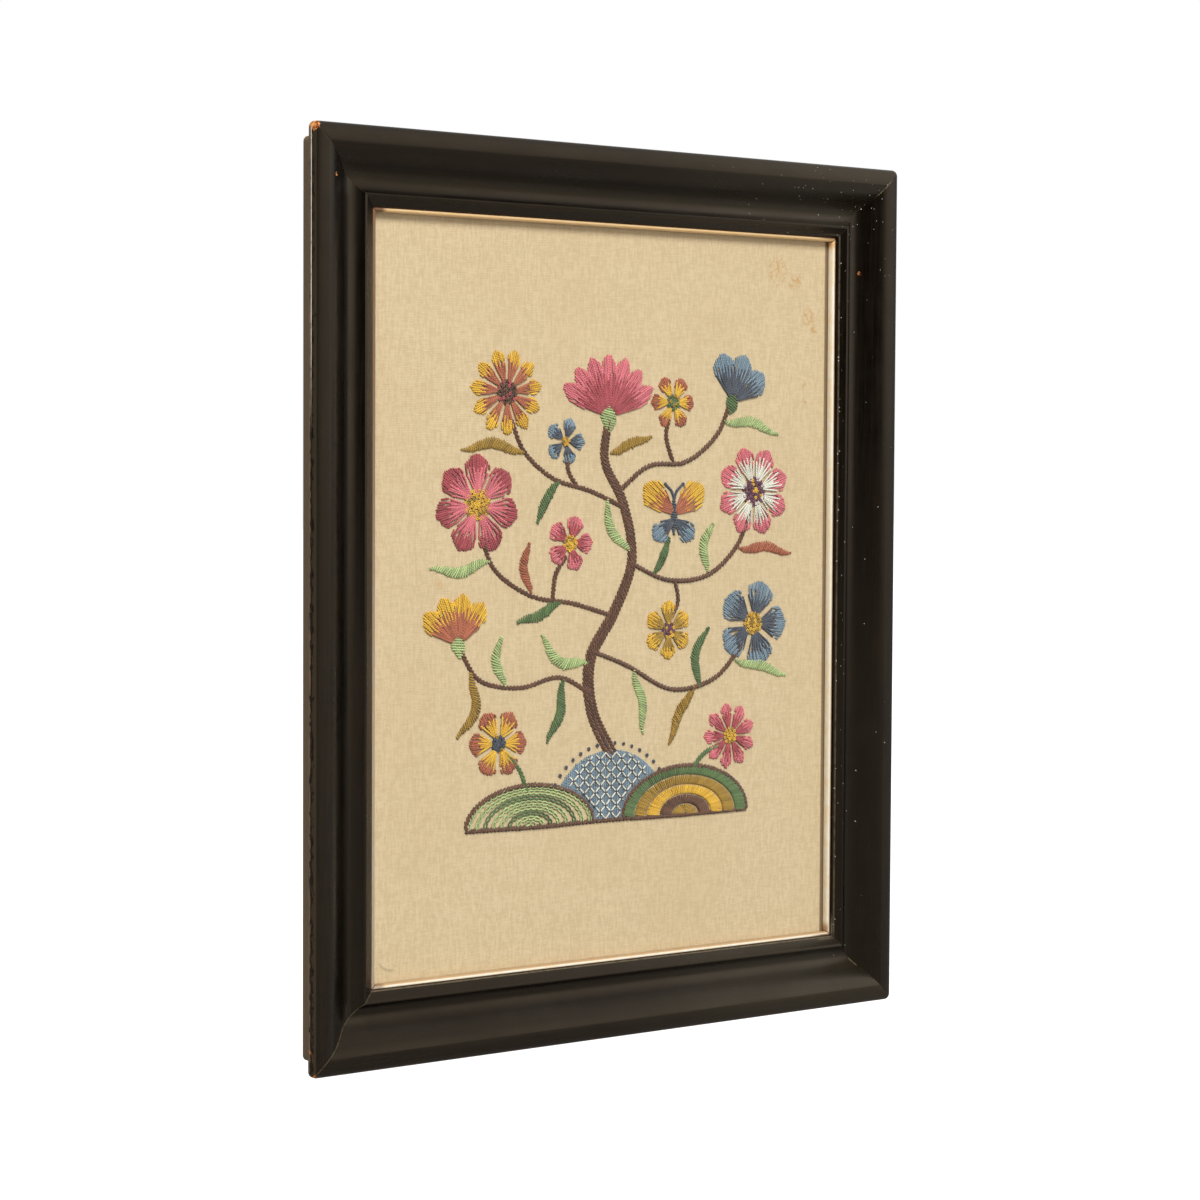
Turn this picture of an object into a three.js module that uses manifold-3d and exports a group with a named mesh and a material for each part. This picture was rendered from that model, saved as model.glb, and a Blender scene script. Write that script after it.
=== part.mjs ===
// A crewel embroidery panel in a black lacquered wood frame: a linen ground worked in wool with a
// flowering tree, held behind a gilt slip in a mitred scoop moulding, with a plain board at the back.
// Millimetres. X runs to the right, Z up, and the panel faces -Y. The wall plane is Y = 0, and the
// origin is the middle of the top rail's back, where the panel is fastened to a wall.
import * as THREE from "three";
import { mergeVertices } from "three/addons/utils/BufferGeometryUtils.js";
import Module from "manifold-3d";

const wasm = await Module();
wasm.setup();

// Driving dimensions of the frame
const FRAME_WIDTH = 338;
const FRAME_HEIGHT = 414;
const RAIL_WIDTH = 34.3; // outer edge to sight edge
const GAP = 0.3; // clearance between pieces that touch
const FRONT_CORNER_RADIUS = 3;
const REAR_CORNER_RADIUS = 2.5;

// Heights of the moulding above the wall plane, from the back to the front
const LIP_BACK = 12.8; // back of the thin outer lip
const OUTER_EDGE = 14.9; // where the rounded shoulder starts
const CREST = 17.4;
const FALL = 13.4; // where the shoulder's curve turns into the scoop's
const SCOOP_FLOOR = 8.7;
const RIDGE = 12.3;
const STRIP_OUTER = 11.8;
const SIGHT_FRONT = 10;
const SIGHT_BACK = 8.8;

// Distances of the same features inwards from the outer edge
const REAR_INSET = 5; // the back of the rail is set in from the lip
const CREST_AT = 7;
const FALL_AT = 15.5;
const FLOOR_AT = 23;
const RIDGE_OUTER_AT = 29;
const RIDGE_INNER_AT = 30.1;
const STRIP_AT = 30.5;
const REBATE_AT = 28.6; // outer wall of the rebate that holds the slip, linen and board

// Gilt slip: a small bead that shows inside the sight edge
const BEAD_WIDTH = 2.2;
const BEAD_FRONT = 9.4;
const SLIP_BACK = 5.7;

// Linen, stitching and board
const SHEET_WIDTH = 279.4;
const SHEET_HEIGHT = 355.6;
const LINEN_FRONT = 5.4;
const LINEN_BACK = 4.2;
const STITCH_RISE = 0.8; // satin stitch stands this far above the linen
const KNOT_RISE = 1.3; // knotted centres stand higher
const STITCH_ROOT = 0.6; // how far the raised forms reach into the linen
const BOARD_FRONT = LINEN_BACK - GAP;
const BOARD_BACK = 0.9;

// The origin lies this far above the panel's middle: half way across the top rail's back face
const MOUNT_HEIGHT = FRAME_HEIGHT / 2 - (REAR_INSET + REBATE_AT) / 2;

const lacquer = new THREE.MeshStandardMaterial({ color: 0x211a15, roughness: 0.35, metalness: 0 });
const gilt = new THREE.MeshStandardMaterial({ color: 0xd2ab6a, roughness: 0.35, metalness: 0.8 });
const linen = new THREE.MeshStandardMaterial({ color: 0xd9c49a, roughness: 0.95, metalness: 0 });
const board = new THREE.MeshStandardMaterial({ color: 0x8a6a48, roughness: 0.9, metalness: 0 });

// A closed geometry as a manifold solid, and back. Corners closer than WELD become one.
const WELD = 0.01;

function solidFrom(geometry) {
  const bare = geometry.clone();
  bare.deleteAttribute("normal");
  bare.deleteAttribute("uv");
  const merged = mergeVertices(bare, 1e-4);
  const index = merged.index.array;
  return new wasm.Manifold(
    new wasm.Mesh({
      numProp: 3,
      vertProperties: new Float32Array(merged.getAttribute("position").array),
      triVerts: new Uint32Array(index),
    }),
  );
}

function geometryFrom(solid) {
  const mesh = solid.getMesh();
  const geometry = new THREE.BufferGeometry();
  geometry.setAttribute("position", new THREE.BufferAttribute(mesh.vertProperties, 3));
  geometry.setIndex(new THREE.BufferAttribute(mesh.triVerts, 1));
  const welded = mergeVertices(geometry, WELD);
  const corners = Array.from(welded.index.array);
  const kept = [];
  for (let i = 0; i < corners.length; i += 3) {
    const [a, b, c] = corners.slice(i, i + 3);
    if (a !== b && b !== c && c !== a) kept.push(a, b, c);
  }
  welded.setIndex(kept);
  const flat = welded.toNonIndexed();
  flat.computeVertexNormals();
  return flat;
}

// An outline in the panel's plane, raised from one height above the wall to another
function raised(outline, back, front) {
  const geometry = new THREE.ExtrudeGeometry(new THREE.Shape(outline), {
    depth: front - back,
    steps: 1,
    bevelEnabled: false,
  });
  geometry.rotateX(Math.PI / 2);
  geometry.translate(0, -back, 0);
  return geometry;
}

// A rectangle with rounded corners, its lower edge at y = inset and centred on x = 0
function roundedRectangle(length, across, inset, radius) {
  const right = length / 2 - inset;
  const low = inset;
  const high = across - inset;
  const shape = new THREE.Shape();
  shape.moveTo(-right + radius, low);
  shape.absarc(right - radius, low + radius, radius, -Math.PI / 2, 0, false);
  shape.absarc(right - radius, high - radius, radius, 0, Math.PI / 2, false);
  shape.absarc(-right + radius, high - radius, radius, Math.PI / 2, Math.PI, false);
  shape.absarc(-right + radius, low + radius, radius, Math.PI, Math.PI * 1.5, false);
  return shape.getPoints(4);
}

// Cross-section of the moulding: x runs inwards from the outer edge, y is the height above the wall
function mouldingSection() {
  const section = new THREE.Shape();
  section.moveTo(REAR_INSET, 0);
  section.lineTo(REBATE_AT, 0);
  section.lineTo(REBATE_AT, SIGHT_BACK);
  section.lineTo(RAIL_WIDTH, SIGHT_BACK);
  section.lineTo(RAIL_WIDTH, SIGHT_FRONT);
  section.lineTo(STRIP_AT, STRIP_OUTER);
  section.lineTo(RIDGE_INNER_AT, RIDGE);
  section.lineTo(RIDGE_OUTER_AT, RIDGE);
  section.bezierCurveTo(27.4, 10, 25.4, SCOOP_FLOOR, FLOOR_AT, SCOOP_FLOOR);
  section.bezierCurveTo(19.8, SCOOP_FLOOR, 18.2, 11, FALL_AT, FALL);
  section.bezierCurveTo(12.8, 15.8, 10.5, CREST, CREST_AT, CREST);
  section.bezierCurveTo(3.4, CREST, 0.4, 16.8, 0, OUTER_EDGE);
  section.lineTo(0, LIP_BACK);
  section.lineTo(REAR_INSET, LIP_BACK);
  section.closePath();
  return section;
}

// Cross-section of the gilt slip: a flat tongue under the moulding and a rounded bead in sight
function slipSection() {
  const outer = REBATE_AT + GAP;
  const tongueFront = SIGHT_BACK - GAP;
  const beadOuter = RAIL_WIDTH + GAP;
  const beadInner = RAIL_WIDTH + BEAD_WIDTH;
  const beadFoot = tongueFront + 0.1;
  const section = new THREE.Shape();
  section.moveTo(outer, SLIP_BACK);
  section.lineTo(beadInner, SLIP_BACK);
  section.lineTo(beadInner, beadFoot);
  section.quadraticCurveTo(beadInner, BEAD_FRONT, (beadInner + beadOuter) / 2, BEAD_FRONT);
  section.quadraticCurveTo(beadOuter, BEAD_FRONT, beadOuter, beadFoot);
  section.lineTo(beadOuter, tongueFront);
  section.lineTo(outer, tongueFront);
  section.closePath();
  return section;
}

// A length of moulding along x with its section inwards along +z, mitred at both ends
function mitredLength(section, length) {
  const mitreClearance = GAP / Math.SQRT2;
  const geometry = new THREE.ExtrudeGeometry(section, {
    depth: 1,
    steps: 1,
    curveSegments: 7,
    bevelEnabled: false,
  });
  const position = geometry.getAttribute("position");
  for (let i = 0; i < position.count; i += 1) {
    const inwards = position.getX(i);
    const height = position.getY(i);
    const end = position.getZ(i) > 0.5 ? 1 : -1;
    position.setXYZ(i, end * (length / 2 - inwards - mitreClearance), -height, inwards);
  }
  return geometry;
}

// The rail keeps only what lies inside the frame's rounded corners, front lip and set-in back alike
function roundCorners(rail, length, across) {
  const lip = roundedRectangle(length, across, 0, FRONT_CORNER_RADIUS);
  const back = roundedRectangle(length, across, REAR_INSET, REAR_CORNER_RADIUS);
  const envelope = solidFrom(raised(lip, LIP_BACK, CREST + 1)).add(
    solidFrom(raised(back, -1, LIP_BACK)),
  );
  return geometryFrom(solidFrom(rail).intersect(envelope));
}

// A leaf, petal or wing: a spine that starts at x, z and heads off at an angle in degrees, turning by
// bend over its length and swaying to both sides by sway. The tip power moves its widest place.
function spindleOutline({ x, z, heading, length, width, bend = 0, sway = 0, tip = 1 }, steps) {
  const left = [];
  const right = [];
  let px = x;
  let pz = z;
  for (let i = 0; i <= steps; i += 1) {
    const t = i / steps;
    const degrees = heading + bend * (t - 0.5) + sway * Math.sin(2 * Math.PI * t);
    const angle = THREE.MathUtils.degToRad(degrees);
    const half = (width / 2) * Math.pow(Math.max(Math.sin(Math.PI * Math.pow(t, tip)), 0), 0.75);
    const ends = i === 0 || i === steps;
    if (ends) {
      right.push(new THREE.Vector2(px, pz));
    } else {
      left.push(new THREE.Vector2(px - Math.sin(angle) * half, pz + Math.cos(angle) * half));
      right.push(new THREE.Vector2(px + Math.sin(angle) * half, pz - Math.cos(angle) * half));
    }
    px += (Math.cos(angle) * length) / steps;
    pz += (Math.sin(angle) * length) / steps;
  }
  return right.concat(left.reverse());
}

// A stem: a smooth line through its points, as wide as its rows of stitches, narrowing to the tip
function stemOutline({ through, rootWidth, tipWidth }) {
  const curve = new THREE.SplineCurve(through.map(([x, z]) => new THREE.Vector2(x, z)));
  const steps = Math.max(4, Math.round(curve.getLength() / 9));
  const left = [];
  const right = [];
  for (let i = 0; i <= steps; i += 1) {
    const t = i / steps;
    const at = curve.getPointAt(t);
    const along = curve.getTangentAt(t);
    const half = THREE.MathUtils.lerp(rootWidth, tipWidth, t) / 2;
    left.push(new THREE.Vector2(at.x - along.y * half, at.y + along.x * half));
    right.push(new THREE.Vector2(at.x + along.y * half, at.y - along.x * half));
  }
  return right.concat(left.reverse());
}

function discOutline(x, z, radius) {
  const sides = 10;
  return Array.from({ length: sides }, (_, i) => {
    const angle = (2 * Math.PI * i) / sides;
    return new THREE.Vector2(x + radius * Math.cos(angle), z + radius * Math.sin(angle));
  });
}

function moundOutline({ x, foot, halfWidth, height }) {
  const steps = 10;
  return Array.from({ length: steps + 1 }, (_, i) => {
    const angle = (Math.PI * i) / steps;
    return new THREE.Vector2(x + halfWidth * Math.cos(angle), foot + height * Math.sin(angle));
  });
}

// The worked design, in millimetres from the middle of the panel
const MOUND_FOOT = -106;
const mounds = [
  { x: 0, foot: MOUND_FOOT, halfWidth: 34, height: 33 },
  { x: -46, foot: MOUND_FOOT, halfWidth: 36, height: 19 },
  { x: 45, foot: MOUND_FOOT, halfWidth: 38, height: 23 },
];

const trunkLine = [[1, -76], [-11, -54], [-12, -30], [2, -8], [12, 16], [7, 42], [-4, 62], [-2, 82]];
const stems = [
  { through: trunkLine, rootWidth: 7, tipWidth: 3.2 },
  { through: [[-12, -46], [-30, -38], [-52, -42], [-74, -38], [-85, -24]], rootWidth: 3.6, tipWidth: 2.6 },
  { through: [[0, -10], [-22, -4], [-46, 0], [-66, 12], [-74, 28]], rootWidth: 3.6, tipWidth: 2.6 },
  { through: [[8, 40], [-12, 48], [-34, 54], [-50, 66], [-58, 82]], rootWidth: 3.2, tipWidth: 2.6 },
  { through: [[-12, -26], [10, -34], [36, -46], [62, -42], [80, -26]], rootWidth: 3.6, tipWidth: 2.6 },
  { through: [[12, 14], [34, 6], [58, 8], [76, 22], [84, 40]], rootWidth: 3.6, tipWidth: 2.6 },
  { through: [[4, 48], [22, 60], [44, 62], [62, 74], [70, 88]], rootWidth: 3.2, tipWidth: 2.6 },
  { through: [[-48, -90], [-52, -80], [-60, -72]], rootWidth: 2.6, tipWidth: 2.4 },
  { through: [[48, -86], [56, -78], [66, -74]], rootWidth: 2.6, tipWidth: 2.4 },
  { through: [[-34, -2], [-32, 10], [-26, 18]], rootWidth: 2.6, tipWidth: 2.4 },
  { through: [[38, 6], [40, -4], [36, -12]], rootWidth: 2.6, tipWidth: 2.4 },
  { through: [[-20, 50], [-25, 57], [-26, 64]], rootWidth: 2.6, tipWidth: 2.4 },
  { through: [[36, 62], [32, 74], [34, 84]], rootWidth: 2.6, tipWidth: 2.4 },
];

const LEAF_TIP = 0.9;
const leaves = [
  { x: -13, z: -32, heading: 152, length: 34, width: 6, bend: -30, sway: 25 },
  { x: -27, z: -39, heading: 252, length: 32, width: 5.5, bend: 20, sway: 25 },
  { x: -60, z: -41, heading: 95, length: 25, width: 5.5, bend: -30, sway: 20 },
  { x: -79, z: -34, heading: 255, length: 34, width: 5.5, bend: -30, sway: 25 },
  { x: -28, z: -3, heading: 200, length: 28, width: 5.5, bend: 30, sway: 20 },
  { x: -46, z: 1, heading: 92, length: 25, width: 5.2, bend: -20, sway: 20 },
  { x: -69, z: 16, heading: 185, length: 34, width: 5.5, bend: 20, sway: 25 },
  { x: -50, z: 66, heading: 178, length: 36, width: 5.5, bend: -20, sway: -25 },
  { x: -30, z: 53, heading: 238, length: 24, width: 5, bend: 30, sway: 0 },
  { x: 14, z: -36, heading: 280, length: 32, width: 5.5, bend: 30, sway: 25 },
  { x: 53, z: -46, heading: 78, length: 32, width: 5.5, bend: -30, sway: 20 },
  { x: 50, z: -45, heading: 240, length: 32, width: 5.5, bend: -30, sway: -20 },
  { x: 75, z: -33, heading: -15, length: 34, width: 5.5, bend: 40, sway: 20 },
  { x: 25, z: 9, heading: 62, length: 20, width: 4.6, bend: 30, sway: 0 },
  { x: 58, z: 9, heading: 82, length: 26, width: 5.5, bend: -30, sway: 20 },
  { x: 77, z: 21, heading: -5, length: 34, width: 5.5, bend: 40, sway: 25 },
  { x: 67, z: 82, heading: -10, length: 36, width: 5.5, bend: 30, sway: 25 },
  { x: -1, z: 66, heading: 18, length: 26, width: 5.2, bend: 30, sway: 15 },
  { x: 11, z: 20, heading: 118, length: 30, width: 5.5, bend: -40, sway: 15 },
];

// Each flower has petals spread about its heading; a spread of 360 is a full round bloom
const FULL_ROUND = 360;
const PETAL_TIP = 1.5;
const flowers = [
  { x: -2, z: 82, radius: 30, heading: 90, spread: 120, petals: 7, petalWidth: 10, centre: 6 },
  { x: -60, z: 93, radius: 20, heading: 10, spread: FULL_ROUND, petals: 11, petalWidth: 7.2, centre: 6.5 },
  { x: 72, z: 90, radius: 25, heading: 70, spread: 70, petals: 3, petalWidth: 14, centre: 5 },
  { x: -76, z: 42, radius: 23, heading: 90, spread: FULL_ROUND, petals: 7, petalWidth: 14.5, centre: 7 },
  { x: 86, z: 48, radius: 22, heading: 20, spread: FULL_ROUND, petals: 8, petalWidth: 12, centre: 7 },
  { x: -86, z: -22, radius: 24, heading: 98, spread: 86, petals: 4, petalWidth: 11.5, centre: 5 },
  { x: 86, z: -16, radius: 21, heading: 0, spread: FULL_ROUND, petals: 5, petalWidth: 17, centre: 6 },
  { x: -24, z: 24, radius: 13, heading: 0, spread: FULL_ROUND, petals: 5, petalWidth: 10, centre: 4 },
  { x: 34, z: -18, radius: 14, heading: 30, spread: FULL_ROUND, petals: 6, petalWidth: 9, centre: 4 },
  { x: -64, z: -67, radius: 16, heading: 0, spread: FULL_ROUND, petals: 6, petalWidth: 11, centre: 5 },
  { x: 72, z: -70, radius: 16, heading: 20, spread: FULL_ROUND, petals: 9, petalWidth: 7, centre: 5 },
  { x: -27, z: 71, radius: 11, heading: 0, spread: FULL_ROUND, petals: 5, petalWidth: 8, centre: 3.5 },
  { x: 36, z: 90, radius: 13, heading: 0, spread: FULL_ROUND, petals: 6, petalWidth: 8, centre: 4 },
];

// The butterfly: four wings that meet under a padded body
const WING_TIP = 1.4;
const wings = [
  { x: 37.4, z: 37.5, heading: 37, length: 22, width: 15 },
  { x: 36.6, z: 37.5, heading: 143, length: 22, width: 15 },
  { x: 37.4, z: 34.5, heading: -38, length: 15, width: 11 },
  { x: 36.6, z: 34.5, heading: 218, length: 15, width: 11 },
];
const butterflyBody = { x: 37, z: 27, heading: 90, length: 18, width: 3.6 };

function petalsOf({ x, z, radius, heading, spread, petals, petalWidth, centre }) {
  const root = 0.6 * centre;
  const step = spread === FULL_ROUND ? spread / petals : spread / (petals - 1);
  const first = spread === FULL_ROUND ? heading : heading - spread / 2;
  return Array.from({ length: petals }, (_, i) => {
    const degrees = first + step * i;
    const angle = THREE.MathUtils.degToRad(degrees);
    return {
      x: x + root * Math.cos(angle),
      z: z + root * Math.sin(angle),
      heading: degrees,
      length: radius - root,
      width: petalWidth,
      tip: PETAL_TIP,
    };
  });
}

// The linen is one sheet, and the worked forms stand out of its face
function embroideredLinen() {
  const forms = [];
  const work = (outline, rise) => {
    forms.push(solidFrom(raised(outline, LINEN_FRONT - STITCH_ROOT, LINEN_FRONT + rise)));
  };
  mounds.forEach((mound) => work(moundOutline(mound), STITCH_RISE));
  stems.forEach((stem) => work(stemOutline(stem), STITCH_RISE));
  leaves.forEach((leaf) => work(spindleOutline({ ...leaf, tip: LEAF_TIP }, 8), STITCH_RISE));
  flowers.forEach((flower) => {
    petalsOf(flower).forEach((petal) => work(spindleOutline(petal, 6), STITCH_RISE));
    work(discOutline(flower.x, flower.z, flower.centre), KNOT_RISE);
  });
  wings.forEach((wing) => work(spindleOutline({ ...wing, tip: WING_TIP }, 6), STITCH_RISE));
  work(spindleOutline(butterflyBody, 6), KNOT_RISE);

  const sheet = new THREE.BoxGeometry(SHEET_WIDTH, LINEN_FRONT - LINEN_BACK, SHEET_HEIGHT);
  sheet.translate(0, -(LINEN_FRONT + LINEN_BACK) / 2, 0);
  const whole = forms.reduce((joined, form) => joined.add(form), solidFrom(sheet));
  return geometryFrom(whole);
}

// Where the four lengths go: the section's inward direction turned to face the middle
const sides = [
  { side: "bottom", x: 0, z: -FRAME_HEIGHT / 2, turn: 0, length: FRAME_WIDTH, across: FRAME_HEIGHT },
  { side: "top", x: 0, z: FRAME_HEIGHT / 2, turn: Math.PI, length: FRAME_WIDTH, across: FRAME_HEIGHT },
  { side: "left", x: -FRAME_WIDTH / 2, z: 0, turn: Math.PI / 2, length: FRAME_HEIGHT, across: FRAME_WIDTH },
  { side: "right", x: FRAME_WIDTH / 2, z: 0, turn: -Math.PI / 2, length: FRAME_HEIGHT, across: FRAME_WIDTH },
];

function addPiece(group, name, geometry, material) {
  const mesh = new THREE.Mesh(geometry, material);
  mesh.name = name;
  group.add(mesh);
  return mesh;
}

const panel = new THREE.Group();
panel.name = "framed_crewel_panel";
panel.position.z = -MOUNT_HEIGHT;

for (const { side, x, z, turn, length, across } of sides) {
  const place = new THREE.Group();
  place.position.set(x, 0, z);
  place.rotation.y = turn;
  const rail = roundCorners(mitredLength(mouldingSection(), length), length, across);
  addPiece(place, `rail_${side}`, rail, lacquer);
  addPiece(place, `slip_${side}`, mitredLength(slipSection(), length), gilt);
  panel.add(place);
}

addPiece(panel, "embroidered_linen", embroideredLinen(), linen);

const boardThickness = BOARD_FRONT - BOARD_BACK;
const backing = new THREE.BoxGeometry(SHEET_WIDTH, boardThickness, SHEET_HEIGHT);
const backboard = addPiece(panel, "backing_board", backing, board);
backboard.position.y = -(BOARD_FRONT + BOARD_BACK) / 2;

const part = new THREE.Group();
part.add(panel);

export default part;
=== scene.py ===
# %% [markdown]
# # A framed crewel embroidery panel
#
# The object is a piece of linen worked in wool, held behind a narrow gilt slip in a black-brown
# lacquered frame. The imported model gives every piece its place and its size. This script dresses
# it: the mouldings get a finer section and a worn finish, the linen gets its weave and its stains,
# and every stitch of wool is a real strand that lies on the cloth.

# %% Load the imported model
import math

import bpy
import numpy as np
from mathutils import Matrix, Vector


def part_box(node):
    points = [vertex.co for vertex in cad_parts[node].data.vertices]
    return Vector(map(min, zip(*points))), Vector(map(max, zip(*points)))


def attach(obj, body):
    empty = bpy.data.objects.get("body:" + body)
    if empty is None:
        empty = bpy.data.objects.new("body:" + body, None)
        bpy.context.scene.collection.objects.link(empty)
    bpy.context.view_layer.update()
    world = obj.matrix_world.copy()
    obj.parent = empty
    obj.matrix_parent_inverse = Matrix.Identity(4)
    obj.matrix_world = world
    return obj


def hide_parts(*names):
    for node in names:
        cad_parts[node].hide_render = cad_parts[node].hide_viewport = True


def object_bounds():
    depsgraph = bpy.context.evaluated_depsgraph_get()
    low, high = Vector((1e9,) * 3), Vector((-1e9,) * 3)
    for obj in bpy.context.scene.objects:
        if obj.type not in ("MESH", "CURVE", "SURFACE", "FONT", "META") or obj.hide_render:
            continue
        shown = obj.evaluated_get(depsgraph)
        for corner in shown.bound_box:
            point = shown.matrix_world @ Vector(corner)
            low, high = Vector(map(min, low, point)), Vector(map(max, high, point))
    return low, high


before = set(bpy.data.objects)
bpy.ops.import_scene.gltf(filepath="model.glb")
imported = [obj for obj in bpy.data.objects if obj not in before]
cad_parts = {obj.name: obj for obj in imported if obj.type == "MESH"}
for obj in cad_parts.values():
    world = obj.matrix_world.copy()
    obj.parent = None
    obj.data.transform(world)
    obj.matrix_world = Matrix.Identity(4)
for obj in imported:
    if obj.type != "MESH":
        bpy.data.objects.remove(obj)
CAD_LOW, CAD_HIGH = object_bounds()
MM = 0.001
WIDTH = (CAD_HIGH.x - CAD_LOW.x) / MM
HEIGHT = (CAD_HIGH.z - CAD_LOW.z) / MM
MIDDLE_Z = (CAD_HIGH.z + CAD_LOW.z) / 2 / MM
CREST = -CAD_LOW.y / MM
RAIL = (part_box("rail_left")[1].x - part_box("rail_left")[0].x) / MM
print(f"frame {WIDTH:.1f} x {HEIGHT:.1f} mm, crest {CREST:.1f} mm off the wall, rails {RAIL:.1f} mm")

# %% [markdown]
# ## The view
#
# A camera could be placed by eye, or worked out. The photograph's camera was fitted to the frame's
# corners, so its place and its turn are known: it stands to the left of the panel, a little above
# the middle of it, and looks very slightly down. A studio sets the rest: a pale floor, a white
# surround, and one large soft lamp high in front, which leaves a thin shade under the top rail.

# %% Camera
CAMERA_PLACE = Vector((-826.0, -1103.0, 59.0 + MIDDLE_Z)) * MM
CAMERA_YAW, CAMERA_PITCH, CAMERA_ROLL = (math.radians(a) for a in (36.75, -2.58, 0.30))
FOCAL_PIXELS, PHOTO_PIXELS, SENSOR = 2938.0, 1200.0, 36.0

ahead = Vector((math.sin(CAMERA_YAW) * math.cos(CAMERA_PITCH),
                math.cos(CAMERA_YAW) * math.cos(CAMERA_PITCH),
                math.sin(CAMERA_PITCH)))
level = Vector((math.cos(CAMERA_YAW), -math.sin(CAMERA_YAW), 0.0))
upright = level.cross(ahead)
right = level * math.cos(CAMERA_ROLL) + upright * math.sin(CAMERA_ROLL)
top = upright * math.cos(CAMERA_ROLL) - level * math.sin(CAMERA_ROLL)

camera_data = bpy.data.cameras.new("camera")
camera_data.lens = FOCAL_PIXELS / PHOTO_PIXELS * SENSOR
camera_data.sensor_width = SENSOR
camera = bpy.data.objects.new("camera", camera_data)
bpy.context.collection.objects.link(camera)
turn = Matrix((right, top, -ahead)).transposed()
camera.matrix_world = Matrix.Translation(CAMERA_PLACE) @ turn.to_4x4()
bpy.context.scene.camera = camera
bpy.context.scene.view_settings.view_transform = "Standard"
print(f"camera lens {camera_data.lens:.1f} mm at {tuple(round(c, 3) for c in CAMERA_PLACE)}")

# %% Helpers for node trees
def node(tree, kind, inputs=None, **settings):
    """A shader node of that kind. inputs maps a socket's name or number to a value or an output."""
    made = tree.nodes.new("ShaderNode" + kind)
    for name, value in settings.items():
        setattr(made, name, value)
    for key, value in (inputs or {}).items():
        if isinstance(value, bpy.types.NodeSocket):
            tree.links.new(value, made.inputs[key])
        else:
            made.inputs[key].default_value = value
    return made


def math_node(tree, operation, *values, clamp=False):
    made = node(tree, "Math", dict(enumerate(values)), operation=operation, use_clamp=clamp)
    return made.outputs[0]


def ramp(tree, value, low, high, to_low=0.0, to_high=1.0):
    """value mapped from low..high to to_low..to_high, with a smooth start and end."""
    made = node(tree, "MapRange",
                {"Value": value, "From Min": low, "From Max": high,
                 "To Min": to_low, "To Max": to_high}, interpolation_type="SMOOTHSTEP")
    return made.outputs["Result"]


def noise(tree, vector, scale, detail=3.0, roughness=0.5):
    made = node(tree, "TexNoise", {"Vector": vector, "Scale": scale, "Detail": detail,
                                   "Roughness": roughness})
    return made.outputs["Fac"]


def mix_colour(tree, share, first, second):
    made = node(tree, "Mix", data_type="RGBA")
    for key, value in ((0, share), (6, first), (7, second)):
        if isinstance(value, bpy.types.NodeSocket):
            tree.links.new(value, made.inputs[key])
        else:
            made.inputs[key].default_value = value
    return made.outputs[2]


def stretch(tree, vector, x, y, z):
    return node(tree, "Mapping", {"Vector": vector, "Scale": (x, y, z)}).outputs[0]


def linear(red, green, blue):
    """A colour seen on a screen, 0 to 255, as the light that the shader works in."""
    def channel(value):
        share = value / 255
        return share / 12.92 if share <= 0.04045 else ((share + 0.055) / 1.055) ** 2.4
    return (channel(red), channel(green), channel(blue), 1.0)


def group(name, inputs, outputs):
    """An empty shader node group with named sockets, and its input and output nodes."""
    tree = bpy.data.node_groups.new(name, "ShaderNodeTree")
    for socket, kind, value in inputs:
        made = tree.interface.new_socket(socket, in_out="INPUT", socket_type="NodeSocket" + kind)
        if value is not None:
            made.default_value = value
    for socket, kind in outputs:
        tree.interface.new_socket(socket, in_out="OUTPUT", socket_type="NodeSocket" + kind)
    return tree, tree.nodes.new("NodeGroupInput"), tree.nodes.new("NodeGroupOutput")


def use_group(tree, name, inputs):
    made = tree.nodes.new("ShaderNodeGroup")
    made.node_tree = bpy.data.node_groups[name]
    for key, value in inputs.items():
        if isinstance(value, bpy.types.NodeSocket):
            tree.links.new(value, made.inputs[key])
        else:
            made.inputs[key].default_value = value
    return made


def new_material(name, **constants):
    """A material, its tree, its Principled node and its Object coordinates."""
    material = bpy.data.materials.new(name)
    material.use_nodes = True
    tree = material.node_tree
    shader = tree.nodes["Principled BSDF"]
    for socket, value in constants.items():
        shader.inputs[socket.replace("_", " ")].default_value = value
    place = tree.nodes.new("ShaderNodeTexCoord").outputs["Object"]
    return material, tree, shader, place


def deselect_all():
    if bpy.context.object and bpy.context.object.mode != "OBJECT":
        bpy.ops.object.mode_set(mode="OBJECT")
    bpy.ops.object.select_all(action="DESELECT")


# %% Studio: floor, surround and lamps
FLOOR_DROP = 60.0
FLOOR_SIZE = 24.0

deselect_all()
bpy.ops.mesh.primitive_plane_add(size=FLOOR_SIZE, location=(0, 0, CAD_LOW.z - FLOOR_DROP * MM))
floor = bpy.context.object
floor.name = "studio_floor"
floor_material, floor_tree, floor_shader, _ = new_material(
    "floor_paint", Roughness=0.9, Base_Color=(0.32, 0.32, 0.32, 1.0), Emission_Color=(1.0, 1.0, 1.0, 1.0))
seen = node(floor_tree, "LightPath").outputs["Is Camera Ray"]
floor_tree.links.new(seen, floor_shader.inputs["Emission Strength"])
floor.data.materials.append(floor_material)


def lamp(name, place, target, size, watts, colour=(1.0, 1.0, 1.0)):
    data = bpy.data.lights.new(name, "AREA")
    data.shape = "RECTANGLE"
    data.size, data.size_y = size
    data.energy = watts
    data.color = colour
    made = bpy.data.objects.new(name, data)
    made.location = place
    made.rotation_euler = (Vector(target) - Vector(place)).to_track_quat("-Z", "Y").to_euler()
    bpy.context.collection.objects.link(made)
    return made


PANEL_MIDDLE = Vector((0.0, 0.0, MIDDLE_Z * MM))
key = lamp("key_lamp", PANEL_MIDDLE + Vector((-1.9, -3.9, 3.9)), PANEL_MIDDLE, (2.25, 2.25), 312.0)
key.visible_glossy = False

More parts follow.
